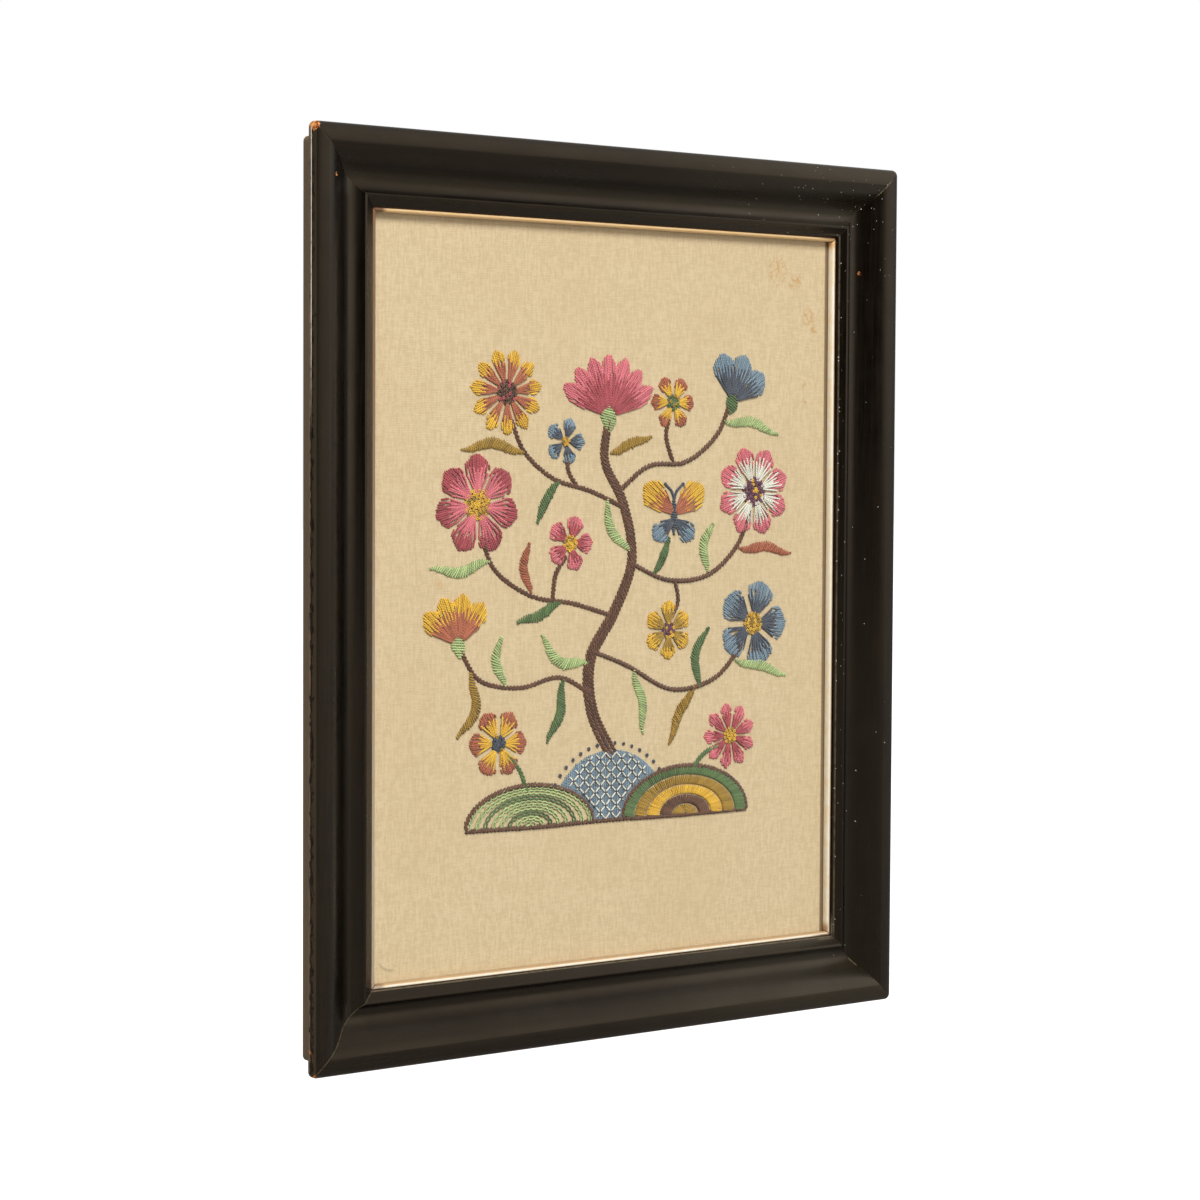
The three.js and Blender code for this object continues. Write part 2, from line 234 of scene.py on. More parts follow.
world = bpy.data.worlds.new("studio")
bpy.context.scene.world = world
world.use_nodes = True
sky = world.node_tree
sky.nodes.clear()
facing = node(sky, "TexCoord").outputs["Generated"]
DARK_SIDE = Vector((-0.82, -0.57, 0.0))
toward_dark = node(sky, "VectorMath", {0: facing, 1: DARK_SIDE}, operation="DOT_PRODUCT").outputs["Value"]
facing_axes = node(sky, "SeparateXYZ", {0: facing})
room_light = ramp(sky, facing_axes.outputs[0], -0.6, 0.5, 0.45, 1.2)
room_light = math_node(sky, "MULTIPLY", room_light, ramp(sky, toward_dark, 0.2, 1.0, 1.0, 0.07))
room_light = math_node(sky, "MULTIPLY", room_light, ramp(sky, facing_axes.outputs[2], -0.5, 0.3, 0.4, 1.0))
room_light = math_node(sky, "MULTIPLY", room_light, ramp(sky, facing_axes.outputs[2], 0.3, 0.9, 1.0, 0.6))
room_light = math_node(sky, "MULTIPLY", room_light, ramp(sky, facing_axes.outputs[0], 0.8, 0.98, 1.0, 0.35))
is_camera = node(sky, "LightPath").outputs["Is Camera Ray"]
strength = node(sky, "Mix", {0: is_camera, 2: room_light, 3: 1.0}, data_type="FLOAT").outputs[0]
surround = node(sky, "Background", {"Color": (1.0, 1.0, 1.0, 1.0), "Strength": strength})
sky.links.new(surround.outputs[0], node(sky, "OutputWorld").inputs["Surface"])
print("studio: floor, one lamp and a surround that is dark where the photographer stands")

# %% [markdown]
# ## The moulding
#
# The frame is four lengths of machined moulding, cut at 45 degrees and glued at the corners. From
# the outside in it has a rounded shoulder, a scoop, a small ridge and a strip that slopes to the
# sight edge. Its back is set in from a thin front lip. A box with grooves cut in it would need many
# cuts, and a curve with a bevel gives little control of the mitre. A maker runs a section along a
# length and saws the ends, so the same is done here: a flat section is extruded and bisected.

# %% Section of the moulding
def trace(start, *moves, steps=12):
    """An outline from start. A move is one point, or the three points of a curve: two pulls and an end."""
    points = [Vector(start)]
    for move in moves:
        if len(move) == 1:
            points.append(Vector(move[0]))
            continue
        begin, first, second, end = points[-1], *(Vector(p) for p in move)
        for i in range(1, steps + 1):
            t = i / steps
            s = 1 - t
            points.append(s ** 3 * begin + 3 * s * s * t * first + 3 * s * t * t * second + t ** 3 * end)
    return points


# Distances inwards from the outer edge, and heights above the wall, in millimetres
REAR_INSET, REBATE_AT = 5.0, 28.6
LIP_BACK, SIGHT_BACK, SIGHT_FRONT = 12.8, 8.8, 10.0
RIDGE, SCOOP_FLOOR, SHOULDER_FOOT = 12.3, 8.7, 14.9
MOULDING = trace(
    (REAR_INSET, 0.0),
    [(REBATE_AT, 0.0)],
    [(REBATE_AT, SIGHT_BACK)],
    [(RAIL, SIGHT_BACK)],
    [(RAIL, SIGHT_FRONT)],
    [(30.5, 11.8)],
    [(30.1, RIDGE)],
    [(29.0, RIDGE)],
    [(27.4, 10.0), (25.4, SCOOP_FLOOR), (23.0, SCOOP_FLOOR)],
    [(19.8, SCOOP_FLOOR), (18.2, 11.0), (15.5, 13.4)],
    [(12.8, 15.8), (10.5, CREST), (7.0, CREST)],
    [(3.4, CREST), (0.4, 16.8), (0.0, SHOULDER_FOOT)],
    [(0.0, LIP_BACK)],
    [(REAR_INSET, LIP_BACK)],
)

FRONT_CORNER, REAR_CORNER = 3.0, 2.5


def round_corner(along, inwards, inset, radius):
    """Moves a point near a frame corner onto the curve that sanding leaves. along and inwards are
    its distances from the corner's two outer edges, in millimetres."""
    along, inwards = along - inset, inwards - inset
    if along < radius and -0.001 < inwards < radius:
        arm = radius - inwards
        angle = math.radians(45) * min((radius - along) / arm, 1.0) if arm > 0 else 0.0
        along, inwards = radius - arm * math.sin(angle), radius - arm * math.cos(angle)
    return along + inset, inwards + inset


def saw_length(name, section, length, joint, rounded=False):
    """A length of moulding along x with its section inwards along +z, mitred at both ends."""
    deselect_all()
    bpy.ops.mesh.primitive_circle_add(vertices=len(section), radius=0.01, fill_type="NGON")
    piece = bpy.context.object
    piece.name = name
    half = length / 2
    for vertex, (inwards, height) in zip(piece.data.vertices, section):
        vertex.co = (-half * MM, -height * MM, inwards * MM)
    bpy.ops.object.mode_set(mode="EDIT")
    bpy.ops.mesh.select_all(action="SELECT")
    bpy.ops.mesh.extrude_region_move(TRANSFORM_OT_translate={"value": (length * MM, 0, 0)})
    for end in (-1, 1):
        bpy.ops.mesh.select_all(action="SELECT")
        bpy.ops.mesh.bisect(plane_co=(end * (half - joint) * MM, 0, 0), plane_no=(end, 0, 1),
                            use_fill=True, clear_outer=True, threshold=1e-7)
        for step in range(1, 9) if rounded else ():
            bpy.ops.mesh.select_all(action="SELECT")
            bpy.ops.mesh.bisect(plane_co=(end * (half - step) * MM, 0, 0), plane_no=(1, 0, 0),
                                threshold=1e-7)
    bpy.ops.mesh.select_all(action="SELECT")
    bpy.ops.mesh.normals_make_consistent(inside=False)
    bpy.ops.object.mode_set(mode="OBJECT")
    for vertex in piece.data.vertices if rounded else ():
        x, y, z = vertex.co / MM
        at_front = -y > LIP_BACK + 0.01 or z < REAR_INSET - 0.01
        corner = (0.0, FRONT_CORNER) if at_front else (REAR_INSET, REAR_CORNER)
        along, inwards = round_corner(half - abs(x), z, *corner)
        vertex.co = Vector((math.copysign(half - along, x), y, inwards)) * MM
    return piece


def finish_length(piece, edge):
    """Eases the sharp edges by a fraction of a millimetre, so that they catch light."""
    easing = piece.modifiers.new("easing", "BEVEL")
    easing.width = edge * MM
    easing.segments = 2
    easing.limit_method = "ANGLE"
    easing.angle_limit = math.radians(32)
    bpy.context.view_layer.objects.active = piece
    piece.select_set(True)
    bpy.ops.object.modifier_apply(modifier=easing.name)
    bpy.ops.object.shade_smooth_by_angle(angle=math.radians(32))
    return piece


# Where the four lengths go: the middle of the outer edge, and the turn about y
SIDES = {
    "bottom": (0.0, -HEIGHT / 2, 0.0, WIDTH),
    "top": (0.0, HEIGHT / 2, math.pi, WIDTH),
    "left": (-WIDTH / 2, 0.0, math.pi / 2, HEIGHT),
    "right": (WIDTH / 2, 0.0, -math.pi / 2, HEIGHT),
}


def place_length(piece, side):
    x, z, turned, _ = SIDES[side]
    place = Matrix.Translation(Vector((x, 0, z + MIDDLE_Z)) * MM)
    piece.data.transform(place @ Matrix.Rotation(turned, 4, "Y"))


MITRE_JOINT = 0.06
rails = {}
for side, (_, _, _, length) in SIDES.items():
    rail = saw_length(f"lacquered_rail_{side}", MOULDING, length, MITRE_JOINT, rounded=True)
    place_length(finish_length(rail, 0.22), side)
    rails[side] = rail
print("rails:", {side: len(rail.data.polygons) for side, rail in rails.items()}, "faces each")

# %% [markdown]
# ## The gilt slip
#
# Inside the sight edge lies a narrow gilt fillet. Only its rounded bead shows. It is sawn and
# mitred like the rails, from a section of its own: a flat tongue that the rebate hides, and a bead.

# %% Gilt slip
GAP = 0.3
BEAD, BEAD_FRONT, SLIP_BACK = 2.2, 9.4, 5.7
tongue_front = SIGHT_BACK - GAP
bead_inner = RAIL + BEAD
SLIP = trace(
    (REBATE_AT + GAP, SLIP_BACK),
    [(bead_inner, SLIP_BACK)],
    [(bead_inner, tongue_front - 0.2)],
    [(bead_inner, tongue_front + 0.5), (bead_inner - 0.4, BEAD_FRONT), (bead_inner - 0.9, BEAD_FRONT)],
    [(RAIL + 0.7, BEAD_FRONT), (RAIL + GAP, tongue_front + 0.6), (RAIL + GAP, tongue_front)],
    [(REBATE_AT + GAP, tongue_front)],
    steps=6,
)
slips = {}
for side, (_, _, _, length) in SIDES.items():
    slip = saw_length(f"gilt_slip_{side}", SLIP, length, MITRE_JOINT)
    place_length(finish_length(slip, 0.06), side)
    slips[side] = slip
print("slips:", {side: len(slip.data.polygons) for side, slip in slips.items()}, "faces each")

# %% [markdown]
# ## The linen ground
#
# The cloth is one flat sheet, stretched over a board. It could be a plain box, but real linen under
# dense wool isn't quite flat: it puckers a little. So a fine grid is lifted and lowered by a few
# hundredths of a millimetre, and Solidify gives it its thickness. The weave itself is far too fine
# to model and goes into the material.

# %% Linen sheet
linen_low, linen_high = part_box("embroidered_linen")
SHEET_WIDTH = (linen_high.x - linen_low.x) / MM
SHEET_HEIGHT = (linen_high.z - linen_low.z) / MM
LINEN_BACK = -linen_high.y / MM
LINEN_FRONT = 5.4
GRID = 90
PUCKER = 0.08

deselect_all()
bpy.ops.mesh.primitive_grid_add(x_subdivisions=GRID, y_subdivisions=GRID, size=1.0)
linen = bpy.context.object
linen.name = "linen_ground"
for vertex in linen.data.vertices:
    x, z = vertex.co.x * SHEET_WIDTH, vertex.co.y * SHEET_HEIGHT
    ripple = math.sin(x / 9.0 + 1.3 * math.sin(z / 17.0)) * math.cos(z / 11.0 - 0.8 * math.sin(x / 21.0))
    calm = max(0.0, 1 - abs(2 * x / SHEET_WIDTH) ** 4) * max(0.0, 1 - abs(2 * z / SHEET_HEIGHT) ** 4)
    vertex.co = Vector((x, -(LINEN_FRONT - PUCKER + PUCKER * ripple * calm), z + MIDDLE_Z)) * MM
thickness = linen.modifiers.new("thickness", "SOLIDIFY")
thickness.thickness = (LINEN_FRONT - PUCKER - LINEN_BACK) * MM
thickness.offset = -1.0
bpy.context.view_layer.objects.active = linen
bpy.ops.object.modifier_apply(modifier=thickness.name)
bpy.ops.object.mode_set(mode="EDIT")
bpy.ops.mesh.select_all(action="SELECT")
bpy.ops.mesh.normals_make_consistent(inside=False)
bpy.ops.object.mode_set(mode="OBJECT")
bpy.ops.object.shade_smooth_by_angle(angle=math.radians(40))
print(f"linen {SHEET_WIDTH:.1f} x {SHEET_HEIGHT:.1f} mm, {len(linen.data.polygons)} faces")

# %% [markdown]
# ## Crewel wool, one strand at a time
#
# The picture is sewn with loose two-ply wool. A bump map would look right only from straight in
# front, and hair curves would not export. So each stitch is a closed tube with few faces that comes
# up out of the cloth, lies on it, and goes down again. All the stitches of one colour are joined in
# one mesh, built from arrays, which is quick even for thousands of them.
#
# Two attributes go with each tube. The strand UV map runs along the thread in millimetres and once
# round it, for the twist of its two plies. The thread attribute is one random number per stitch.

# %% Strand builder
rng = np.random.default_rng(17)
SIDES_OF_STRAND = 6
DIVE = 0.25
yarn_colours = {
    "rose": (212, 112, 118), "deep_rose": (166, 72, 76), "mustard": (228, 172, 52),
    "blue": (120, 140, 152), "slate": (74, 79, 88), "brown": (100, 67, 47),
    "khaki": (162, 126, 46), "light_green": (172, 190, 124), "dark_green": (92, 116, 68),
    "rust": (170, 96, 66), "plum": (108, 62, 80), "cream": (234, 224, 200),
}
strands = {name: [] for name in yarn_colours}


def lay(colour, path, width=1.08, lift=0.36, body=0.78, base=0.0, wander=0.12,
        slope=0.0):
    """One stitch. path holds its points on the cloth in millimetres from the panel's middle. It
    rises to lift above the cloth at its middle and goes under the cloth at both ends."""
    path = np.asarray(path, dtype=float)
    steps = np.linalg.norm(np.diff(path, axis=0), axis=1)
    run = np.concatenate(([0.0], np.cumsum(steps)))
    length = run[-1]
    if length < 0.7:
        return
    rings = int(np.clip(round(length / 2.2), 1, 12)) + 4
    rise = min(0.55, length * 0.22)
    inner = np.linspace(rise, length - rise, rings - 2)
    at = np.concatenate(([0.0], inner, [length]))
    x = np.interp(at, run, path[:, 0])
    z = np.interp(at, run, path[:, 1])
    share = at / length
    height = base + lift * (0.86 + 0.14 * np.sin(np.pi * share)) + slope * (0.5 - share)
    height[0] = height[-1] = -DIVE
    side = rng.normal(0, wander, rings)
    side[0] = side[-1] = 0.0
    direction = np.array([path[-1, 0] - path[0, 0], path[-1, 1] - path[0, 1]])
    direction /= max(np.linalg.norm(direction), 1e-6)
    x = x - direction[1] * side * 0.5
    z = z + direction[0] * side * 0.5
    height[1:-1] += rng.normal(0, 0.03, rings - 2)
    wide = np.full(rings, width) * rng.normal(1.0, 0.05)
    wide[0] = wide[-1] = width * 0.5
    wide[1] *= 0.9
    wide[-2] *= 0.9
    deep = np.full(rings, body)
    deep[0] = deep[-1] = body * 0.6
    strands[colour].append((np.stack((x, z, height), 1), wide, deep, rng.random()))


def strand_mesh(items):
    """Vertices, quads, end fans and per-vertex data of closed tubes."""
    vertices, along, around, thread = [np.zeros((0, 3))], [[]], [[]], [[]]
    quads, caps = [], []
    start = 0
    angles = 2 * np.pi * np.arange(SIDES_OF_STRAND) / SIDES_OF_STRAND
    for path, wide, deep, random_share in items:
        rings = len(path)
        tangent = np.gradient(path, axis=0)
        tangent /= np.linalg.norm(tangent, axis=1, keepdims=True)
        sideways = np.stack((-tangent[:, 1], tangent[:, 0], np.zeros(rings)), 1)
        flat = np.linalg.norm(sideways, axis=1, keepdims=True)
        sideways /= np.maximum(flat, 1e-6)
        outwards = np.cross(tangent, sideways)
        ring = (path[:, None, :]
                + sideways[:, None, :] * (np.cos(angles)[None, :, None] * wide[:, None, None] / 2)
                + outwards[:, None, :] * (np.sin(angles)[None, :, None] * deep[:, None, None] / 2))
        vertices.append(ring.reshape(-1, 3))
        vertices.append(path[[0, -1]])
        run = np.concatenate(([0.0], np.cumsum(np.linalg.norm(np.diff(path, axis=0), axis=1))))
        along.append(np.concatenate((np.repeat(run, SIDES_OF_STRAND), run[[0, -1]])))
        around.append(np.concatenate((np.tile(angles / (2 * np.pi), rings), [0.0, 0.0])))
        thread.append(np.full(rings * SIDES_OF_STRAND + 2, random_share))
        a = start + np.arange((rings - 1) * SIDES_OF_STRAND)
        b = np.where(np.arange(len(a)) % SIDES_OF_STRAND == SIDES_OF_STRAND - 1,
                     a - SIDES_OF_STRAND + 1, a + 1)
        quads.extend(np.stack((a, b, b + SIDES_OF_STRAND, a + SIDES_OF_STRAND), 1).tolist())
        first_cap, last_cap = start + rings * SIDES_OF_STRAND, start + rings * SIDES_OF_STRAND + 1
        last = start + (rings - 1) * SIDES_OF_STRAND
        for i in range(SIDES_OF_STRAND):
            j = (i + 1) % SIDES_OF_STRAND
            caps.append([first_cap, start + j, start + i])
            caps.append([last_cap, last + i, last + j])
        start += rings * SIDES_OF_STRAND + 2
    return vertices, quads, caps, along, around, thread


def turned(x, z, heading, along, across):
    """A point that lies along and across a heading in degrees from x, z."""
    angle = np.radians(heading)
    return (x + along * np.cos(angle) - across * np.sin(angle),
            z + along * np.sin(angle) + across * np.cos(angle))


STRAND_PITCH = 1.04
print("yarns:", ", ".join(strands))

# %% [markdown]
# ### Leaves: satin stitch across a curved spine
#
# A satin leaf is filled with straight stitches side by side, each from one edge to the other at a
# slant. Their ends make the leaf's edge, and it is never quite even.

# %% Leaves
LEAF_TIP, PETAL_TIP, WING_TIP = 0.9, 1.5, 1.4
LEAF_PITCH = 1.2


def spindle_half(t, width, tip):
    return width / 2 * np.maximum(np.sin(np.pi * np.power(t, tip)), 0.0) ** 0.75


def spine(x, z, heading, length, bend, sway, steps=60):
    """Points and headings along a leaf that turns by bend and sways to both sides."""
    t = np.arange(steps + 1) / steps
    angle = np.radians(heading + bend * (t - 0.5) + sway * np.sin(2 * np.pi * t))
    px = x + np.concatenate(([0.0], np.cumsum(np.cos(angle[:-1]) * length / steps)))
    pz = z + np.concatenate(([0.0], np.cumsum(np.sin(angle[:-1]) * length / steps)))
    return t, px, pz, angle


def satin_leaf(colour, x, z, heading, length, width, bend=0.0, sway=0.0, slant=28.0, tip=LEAF_TIP):
    t, px, pz, angle = spine(x, z, heading, length, bend, sway)
    count = int(round(length / LEAF_PITCH))
    for k in range(count):
        at = (k + 0.5) / count
        sx, sz = np.interp(at, t, px), np.interp(at, t, pz)
        lean = np.interp(at, t, angle) + math.radians(90 - slant)
        half = float(spindle_half(np.array(at), width, tip)) + 0.25
        ends = half + rng.normal(0, 0.16, 2)
        path = [(sx - math.cos(lean) * ends[0], sz - math.sin(lean) * ends[0]),
                (sx + math.cos(lean) * ends[1], sz + math.sin(lean) * ends[1])]
        lay(colour, path, base=0.06)


leaves = [
    (-13, -32, 152, 34, 6, -30, 25, "light_green"), (-27, -39, 252, 32, 5.5, 20, 25, "dark_green"),
    (-60, -41, 95, 25, 5.5, -30, 20, "light_green"), (-79, -34, 255, 34, 5.5, -30, 25, "khaki"),
    (-28, -3, 200, 28, 5.5, 30, 20, "dark_green"), (-46, 1, 92, 25, 5.2, -20, 20, "rust"),
    (-69, 16, 185, 34, 5.5, 20, 25, "light_green"), (-50, 66, 178, 36, 5.5, -20, -25, "khaki"),
    (-30, 53, 238, 24, 5, 30, 0, "dark_green"), (14, -36, 280, 32, 5.5, 30, 25, "light_green"),
    (53, -46, 78, 32, 5.5, -30, 20, "dark_green"), (50, -45, 240, 32, 5.5, -30, -20, "khaki"),
    (75, -33, -15, 34, 5.5, 40, 20, "light_green"), (25, 9, 62, 20, 4.6, 30, 0, "dark_green"),
    (58, 9, 82, 26, 5.5, -30, 20, "light_green"), (77, 21, -5, 34, 5.5, 40, 25, "rust"),
    (67, 82, -10, 36, 5.5, 30, 25, "light_green"), (-1, 66, 18, 26, 5.2, 30, 15, "khaki"),
    (11, 20, 118, 30, 5.5, -40, 15, "light_green"),
]
for *shape, colour in leaves:
    satin_leaf(colour, *shape)
print(f"{len(leaves)} leaves, {sum(map(len, strands.values()))} stitches")

# %% [markdown]
# ### Branches: rows of stem stitch
#
# Each stitch of a row starts half-way along the one before and crosses it slightly, so that the row
# looks like a rope. A branch is one such row, and the trunk is three, side by side.

# %% Branches
def smooth_line(points, samples=24):
    """A Catmull-Rom curve through the points, with even spacing."""
    p = np.array(points, dtype=float)
    p = np.vstack((2 * p[0] - p[1], p, 2 * p[-1] - p[-2]))
    out = []
    for i in range(1, len(p) - 2):
        t = np.linspace(0, 1, samples, endpoint=False)[:, None]
        a, b, c, d = p[i - 1], p[i], p[i + 1], p[i + 2]
        out.append(0.5 * (2 * b + (c - a) * t + (2 * a - 5 * b + 4 * c - d) * t ** 2
                          + (3 * b - a - 3 * c + d) * t ** 3))
    out.append(p[-2][None, :])
    return np.vstack(out)


STEM_ROW = 2.6


def stem_rows(colours, points, root_width, tip_width, stitch=3.7, advance=1.95, cross=0.95):
    line = smooth_line(points)
    run = np.concatenate(([0.0], np.cumsum(np.linalg.norm(np.diff(line, axis=0), axis=1))))
    tangent = np.gradient(line, axis=0)
    tangent /= np.linalg.norm(tangent, axis=1, keepdims=True)
    length = run[-1]
    rows = max(1, int(round(root_width / STEM_ROW)))
    for row in range(rows):
        share = (row + 0.5) / rows * 2 - 1
        start = -rng.random() * advance
        reach = length * min(1.0, 1.08 - 0.55 * max(0, abs(share) - tip_width / root_width))
        while start < reach - 1.0:
            s = np.linspace(max(start, 0), min(start + stitch, length), 4)
            x, z = np.interp(s, run, line[:, 0]), np.interp(s, run, line[:, 1])
            tx, tz = np.interp(s, run, tangent[:, 0]), np.interp(s, run, tangent[:, 1])
            half = (root_width + (tip_width - root_width) * s / length) / 2
            off = share * half + np.linspace(-cross, cross, 4)
            colour = colours[row % len(colours)] if rng.random() > 0.06 else colours[0]
            lay(colour, np.stack((x - tz * off, z + tx * off), 1), width=1.25, slope=0.6)
            start += advance * rng.normal(1.0, 0.08)


trunk = [(1, -76), (-11, -54), (-12, -30), (2, -8), (12, 16), (7, 42), (-4, 62), (-2, 82)]
branches = [
    ([(-12, -46), (-30, -38), (-52, -42), (-74, -38), (-85, -24)], 3.6, 2.6),
    ([(0, -10), (-22, -4), (-46, 0), (-66, 12), (-74, 28)], 3.6, 2.6),
    ([(8, 40), (-12, 48), (-34, 54), (-50, 66), (-58, 82)], 3.2, 2.6),
    ([(-12, -26), (10, -34), (36, -46), (62, -42), (80, -26)], 3.6, 2.6),
    ([(12, 14), (34, 6), (58, 8), (76, 22), (84, 40)], 3.6, 2.6),
    ([(4, 48), (22, 60), (44, 62), (62, 74), (70, 88)], 3.2, 2.6),
    ([(-34, -2), (-32, 10), (-26, 18)], 2.6, 2.4),
    ([(38, 6), (40, -4), (36, -12)], 2.6, 2.4),
    ([(-20, 50), (-25, 57), (-26, 64)], 2.6, 2.4),
    ([(36, 62), (32, 74), (34, 84)], 2.6, 2.4),
]
stem_rows(["brown"], trunk, 7, 3.2)
for points, root_width, tip_width in branches:
    stem_rows(["brown"], points, root_width, tip_width)
for points in ([(-48, -90), (-52, -80), (-60, -72)], [(48, -86), (56, -78), (66, -74)]):
    stem_rows(["dark_green"], points, 2.6, 2.4)
print(f"{3 + len(branches)} branches, {sum(map(len, strands.values()))} stitches")

# %% [markdown]
# ### Flowers: long and short stitch, and knots
#
# A petal is worked from its rim inwards in one colour and from its root outwards in another. The
# stitches of the two meet at uneven lengths, so that the colours blend. The centre is a dome of
# French knots, each a strand wound round the needle and pulled tight into a small ring.

# %% Petals and knots
KNOT_PITCH = 1.8
knots = {name: [] for name in yarn_colours}


def petal(outer, inner, x, z, heading, length, width, tip=PETAL_TIP, meet=0.5):
    count = max(5, int(round(width / STRAND_PITCH)))
    for k in range(count):
        s = ((k + 0.5) / count * 2 - 1) * 0.97
        far = (1 - math.asin(min(abs(s) ** (4 / 3), 1.0)) / math.pi) ** (1 / tip)
        rim = turned(x, z, heading, far * length + rng.normal(0.1, 0.22), s * width / 2)
        t = np.clip(meet + (-0.1 if k % 2 else 0.1) + rng.normal(0, 0.05), 0.2, far - 0.15)
        half = float(spindle_half(np.array(t), width, tip))
        lay(outer, [rim, turned(x, z, heading, t * length, s * half)])
    count = max(3, int(round(width * 0.8 / STRAND_PITCH)))
    for k in range(count):
        s = (k + 0.5) / count * 2 - 1
        t = np.clip(meet + 0.08 + (0.12 if k % 2 else -0.02) + rng.normal(0, 0.04), 0.2, 0.85)
        half = float(spindle_half(np.array(t), width, tip))
        root = 0.03 + 0.1 * (k % 2) * (1 - abs(s))
        near = float(spindle_half(np.array(max(root, 0.06)), width, tip))
        lay(inner, [turned(x, z, heading, root * length, s * near),
                    turned(x, z, heading, t * length, s * half * 0.94)],
            width=1.0, base=0.1)


second_yarn = {"mustard": "khaki", "brown": "deep_rose", "light_green": "khaki", "plum": "mustard",
               "dark_green": "khaki", "slate": "khaki"}


def knot_disc(colour, x, z, radius, dome=0.35):
    ring = 0
    while ring * KNOT_PITCH * 0.9 <= radius - 0.5:
        r = ring * KNOT_PITCH * 0.9
        count = max(1, int(round(2 * math.pi * r / KNOT_PITCH)))
        turn_by = rng.random() * 6.28
        for i in range(count):
            a = turn_by + 2 * math.pi * i / count
            at = np.array([x + r * math.cos(a), z + r * math.sin(a)]) + rng.normal(0, 0.1, 2)
            yarn = second_yarn[colour] if rng.random() < 0.2 else colour
            knots[yarn].append((at[0], at[1], 0.42 + dome * (1 - (r / radius) ** 2), rng.random()))
        ring += 1


flowers = [
    (-2, 82, 30, 90, 120, 7, 10, 6, "rose", "deep_rose", "light_green"),
    (-60, 93, 20, 10, 360, 11, 7.2, 6.5, "mustard", "rust", "brown"),
    (72, 90, 25, 70, 70, 3, 14, 5, "blue", "slate", "dark_green"),
    (-76, 42, 23, 90, 360, 7, 14.5, 7, "deep_rose", "rose", "mustard"),
    (86, 48, 22, 20, 360, 8, 12, 7, "rose", "cream", "plum"),
    (-86, -22, 24, 98, 86, 4, 11.5, 5, "mustard", "rust", "light_green"),
    (86, -16, 21, 0, 360, 5, 17, 6, "blue", "slate", "mustard"),
    (-24, 24, 13, 0, 360, 5, 10, 4, "rose", "deep_rose", "mustard"),
    (34, -18, 14, 30, 360, 6, 9, 4, "mustard", "khaki", "plum"),
    (-64, -67, 16, 0, 360, 6, 11, 5, "rust", "mustard", "slate"),
    (72, -70, 16, 20, 360, 9, 7, 5, "rose", "deep_rose", "mustard"),
    (-27, 71, 11, 0, 360, 5, 8, 3.5, "blue", "slate", "mustard"),
    (36, 90, 13, 0, 360, 6, 8, 4, "rust", "mustard", "dark_green"),
]
for x, z, radius, heading, spread, petals, width, centre, outer, inner, middle in flowers:
    gap = 360 / petals if spread == 360 else spread / (petals - 1)
    first = heading if spread == 360 else heading - spread / 2
    root = centre * 0.6
    for i in range(petals):
        way = first + i * gap
        px, pz = turned(x, z, way, root, 0.0)
        petal(outer, inner, px, pz, way, radius - root, width)
    if spread == 360:
        knot_disc(middle, x, z, centre)
    else:
        satin_leaf(middle, *turned(x, z, heading, -centre * 1.1, 0.0), heading, centre * 2.1, centre * 1.5,
                   slant=12, tip=1.2)
print(f"{len(flowers)} flowers, {sum(map(len, strands.values()))} stitches, "
      f"{sum(map(len, knots.values()))} knots")

# %% The butterfly
for x, z, heading, length, width, outer, inner in (
        (37.4, 37.5, 37, 22, 15, "mustard", "rust"), (36.6, 37.5, 143, 22, 15, "mustard", "rust"),
        (37.4, 34.5, -38, 15, 11, "blue", "slate"), (36.6, 34.5, 218, 15, 11, "blue", "slate")):
    petal(outer, inner, x, z, heading, length, width, tip=WING_TIP, meet=0.42)
satin_leaf("slate", 37, 27, 90, 18, 3.6, slant=8, tip=1.0)
for turn_by in (-1, 1):
    feeler = [(37, 44), (37 + 1.5 * turn_by, 48), (37 + 5 * turn_by, 51)]
    stem_rows(["slate"], feeler, 0.9, 0.9, stitch=3.4, advance=1.7, cross=0.2)
    knots["slate"].append((37 + 5.4 * turn_by, 51.3, 0.42, 0.5))
print("butterfly: four wings, a body and two feelers")

# %% [markdown]
# ### Hillocks: laid work, chain stitch and bands
#
# The middle hillock is laid work: long threads side by side, held down by a trellis of a lighter
# yarn that is tied with a small cross wherever it meets. The left one is rows of chain stitch, and
# the right one bands of satin stitch.

# %% Hillocks
FOOT = -106.0
MOUNDS = {"trellis": (0, 34, 33), "chain": (-46, 36, 19), "bands": (45, 38, 23)}


def inside(mound, x, z, ease=0.0):
    middle, half_width, height = MOUNDS[mound]
    return ((x - middle) / (half_width - ease)) ** 2 + ((z - FOOT) / (height - ease)) ** 2 < 1


def covered(x, z, ease=0.0):
    return inside("chain", x, z, ease) or inside("bands", x, z, ease)


middle, half_width, height = MOUNDS["trellis"]
for x in np.arange(-half_width + 0.8, half_width - 0.4, STRAND_PITCH):
    crown = FOOT + height * math.sqrt(1 - (x / half_width) ** 2)
    low = FOOT
    for mound in ("chain", "bands"):
        m, w, h = MOUNDS[mound]
        if abs(x - m) < w:
            low = max(low, FOOT + h * math.sqrt(1 - ((x - m) / w) ** 2))
    cut = low
    while crown - cut > 1.2:
        end = min(crown + rng.normal(0, 0.15), cut + 17 + rng.normal(0, 2))
        lay("blue", [(x, cut), (x, end)], lift=0.2, body=0.6, wander=0.08)
        cut = end - 0.2

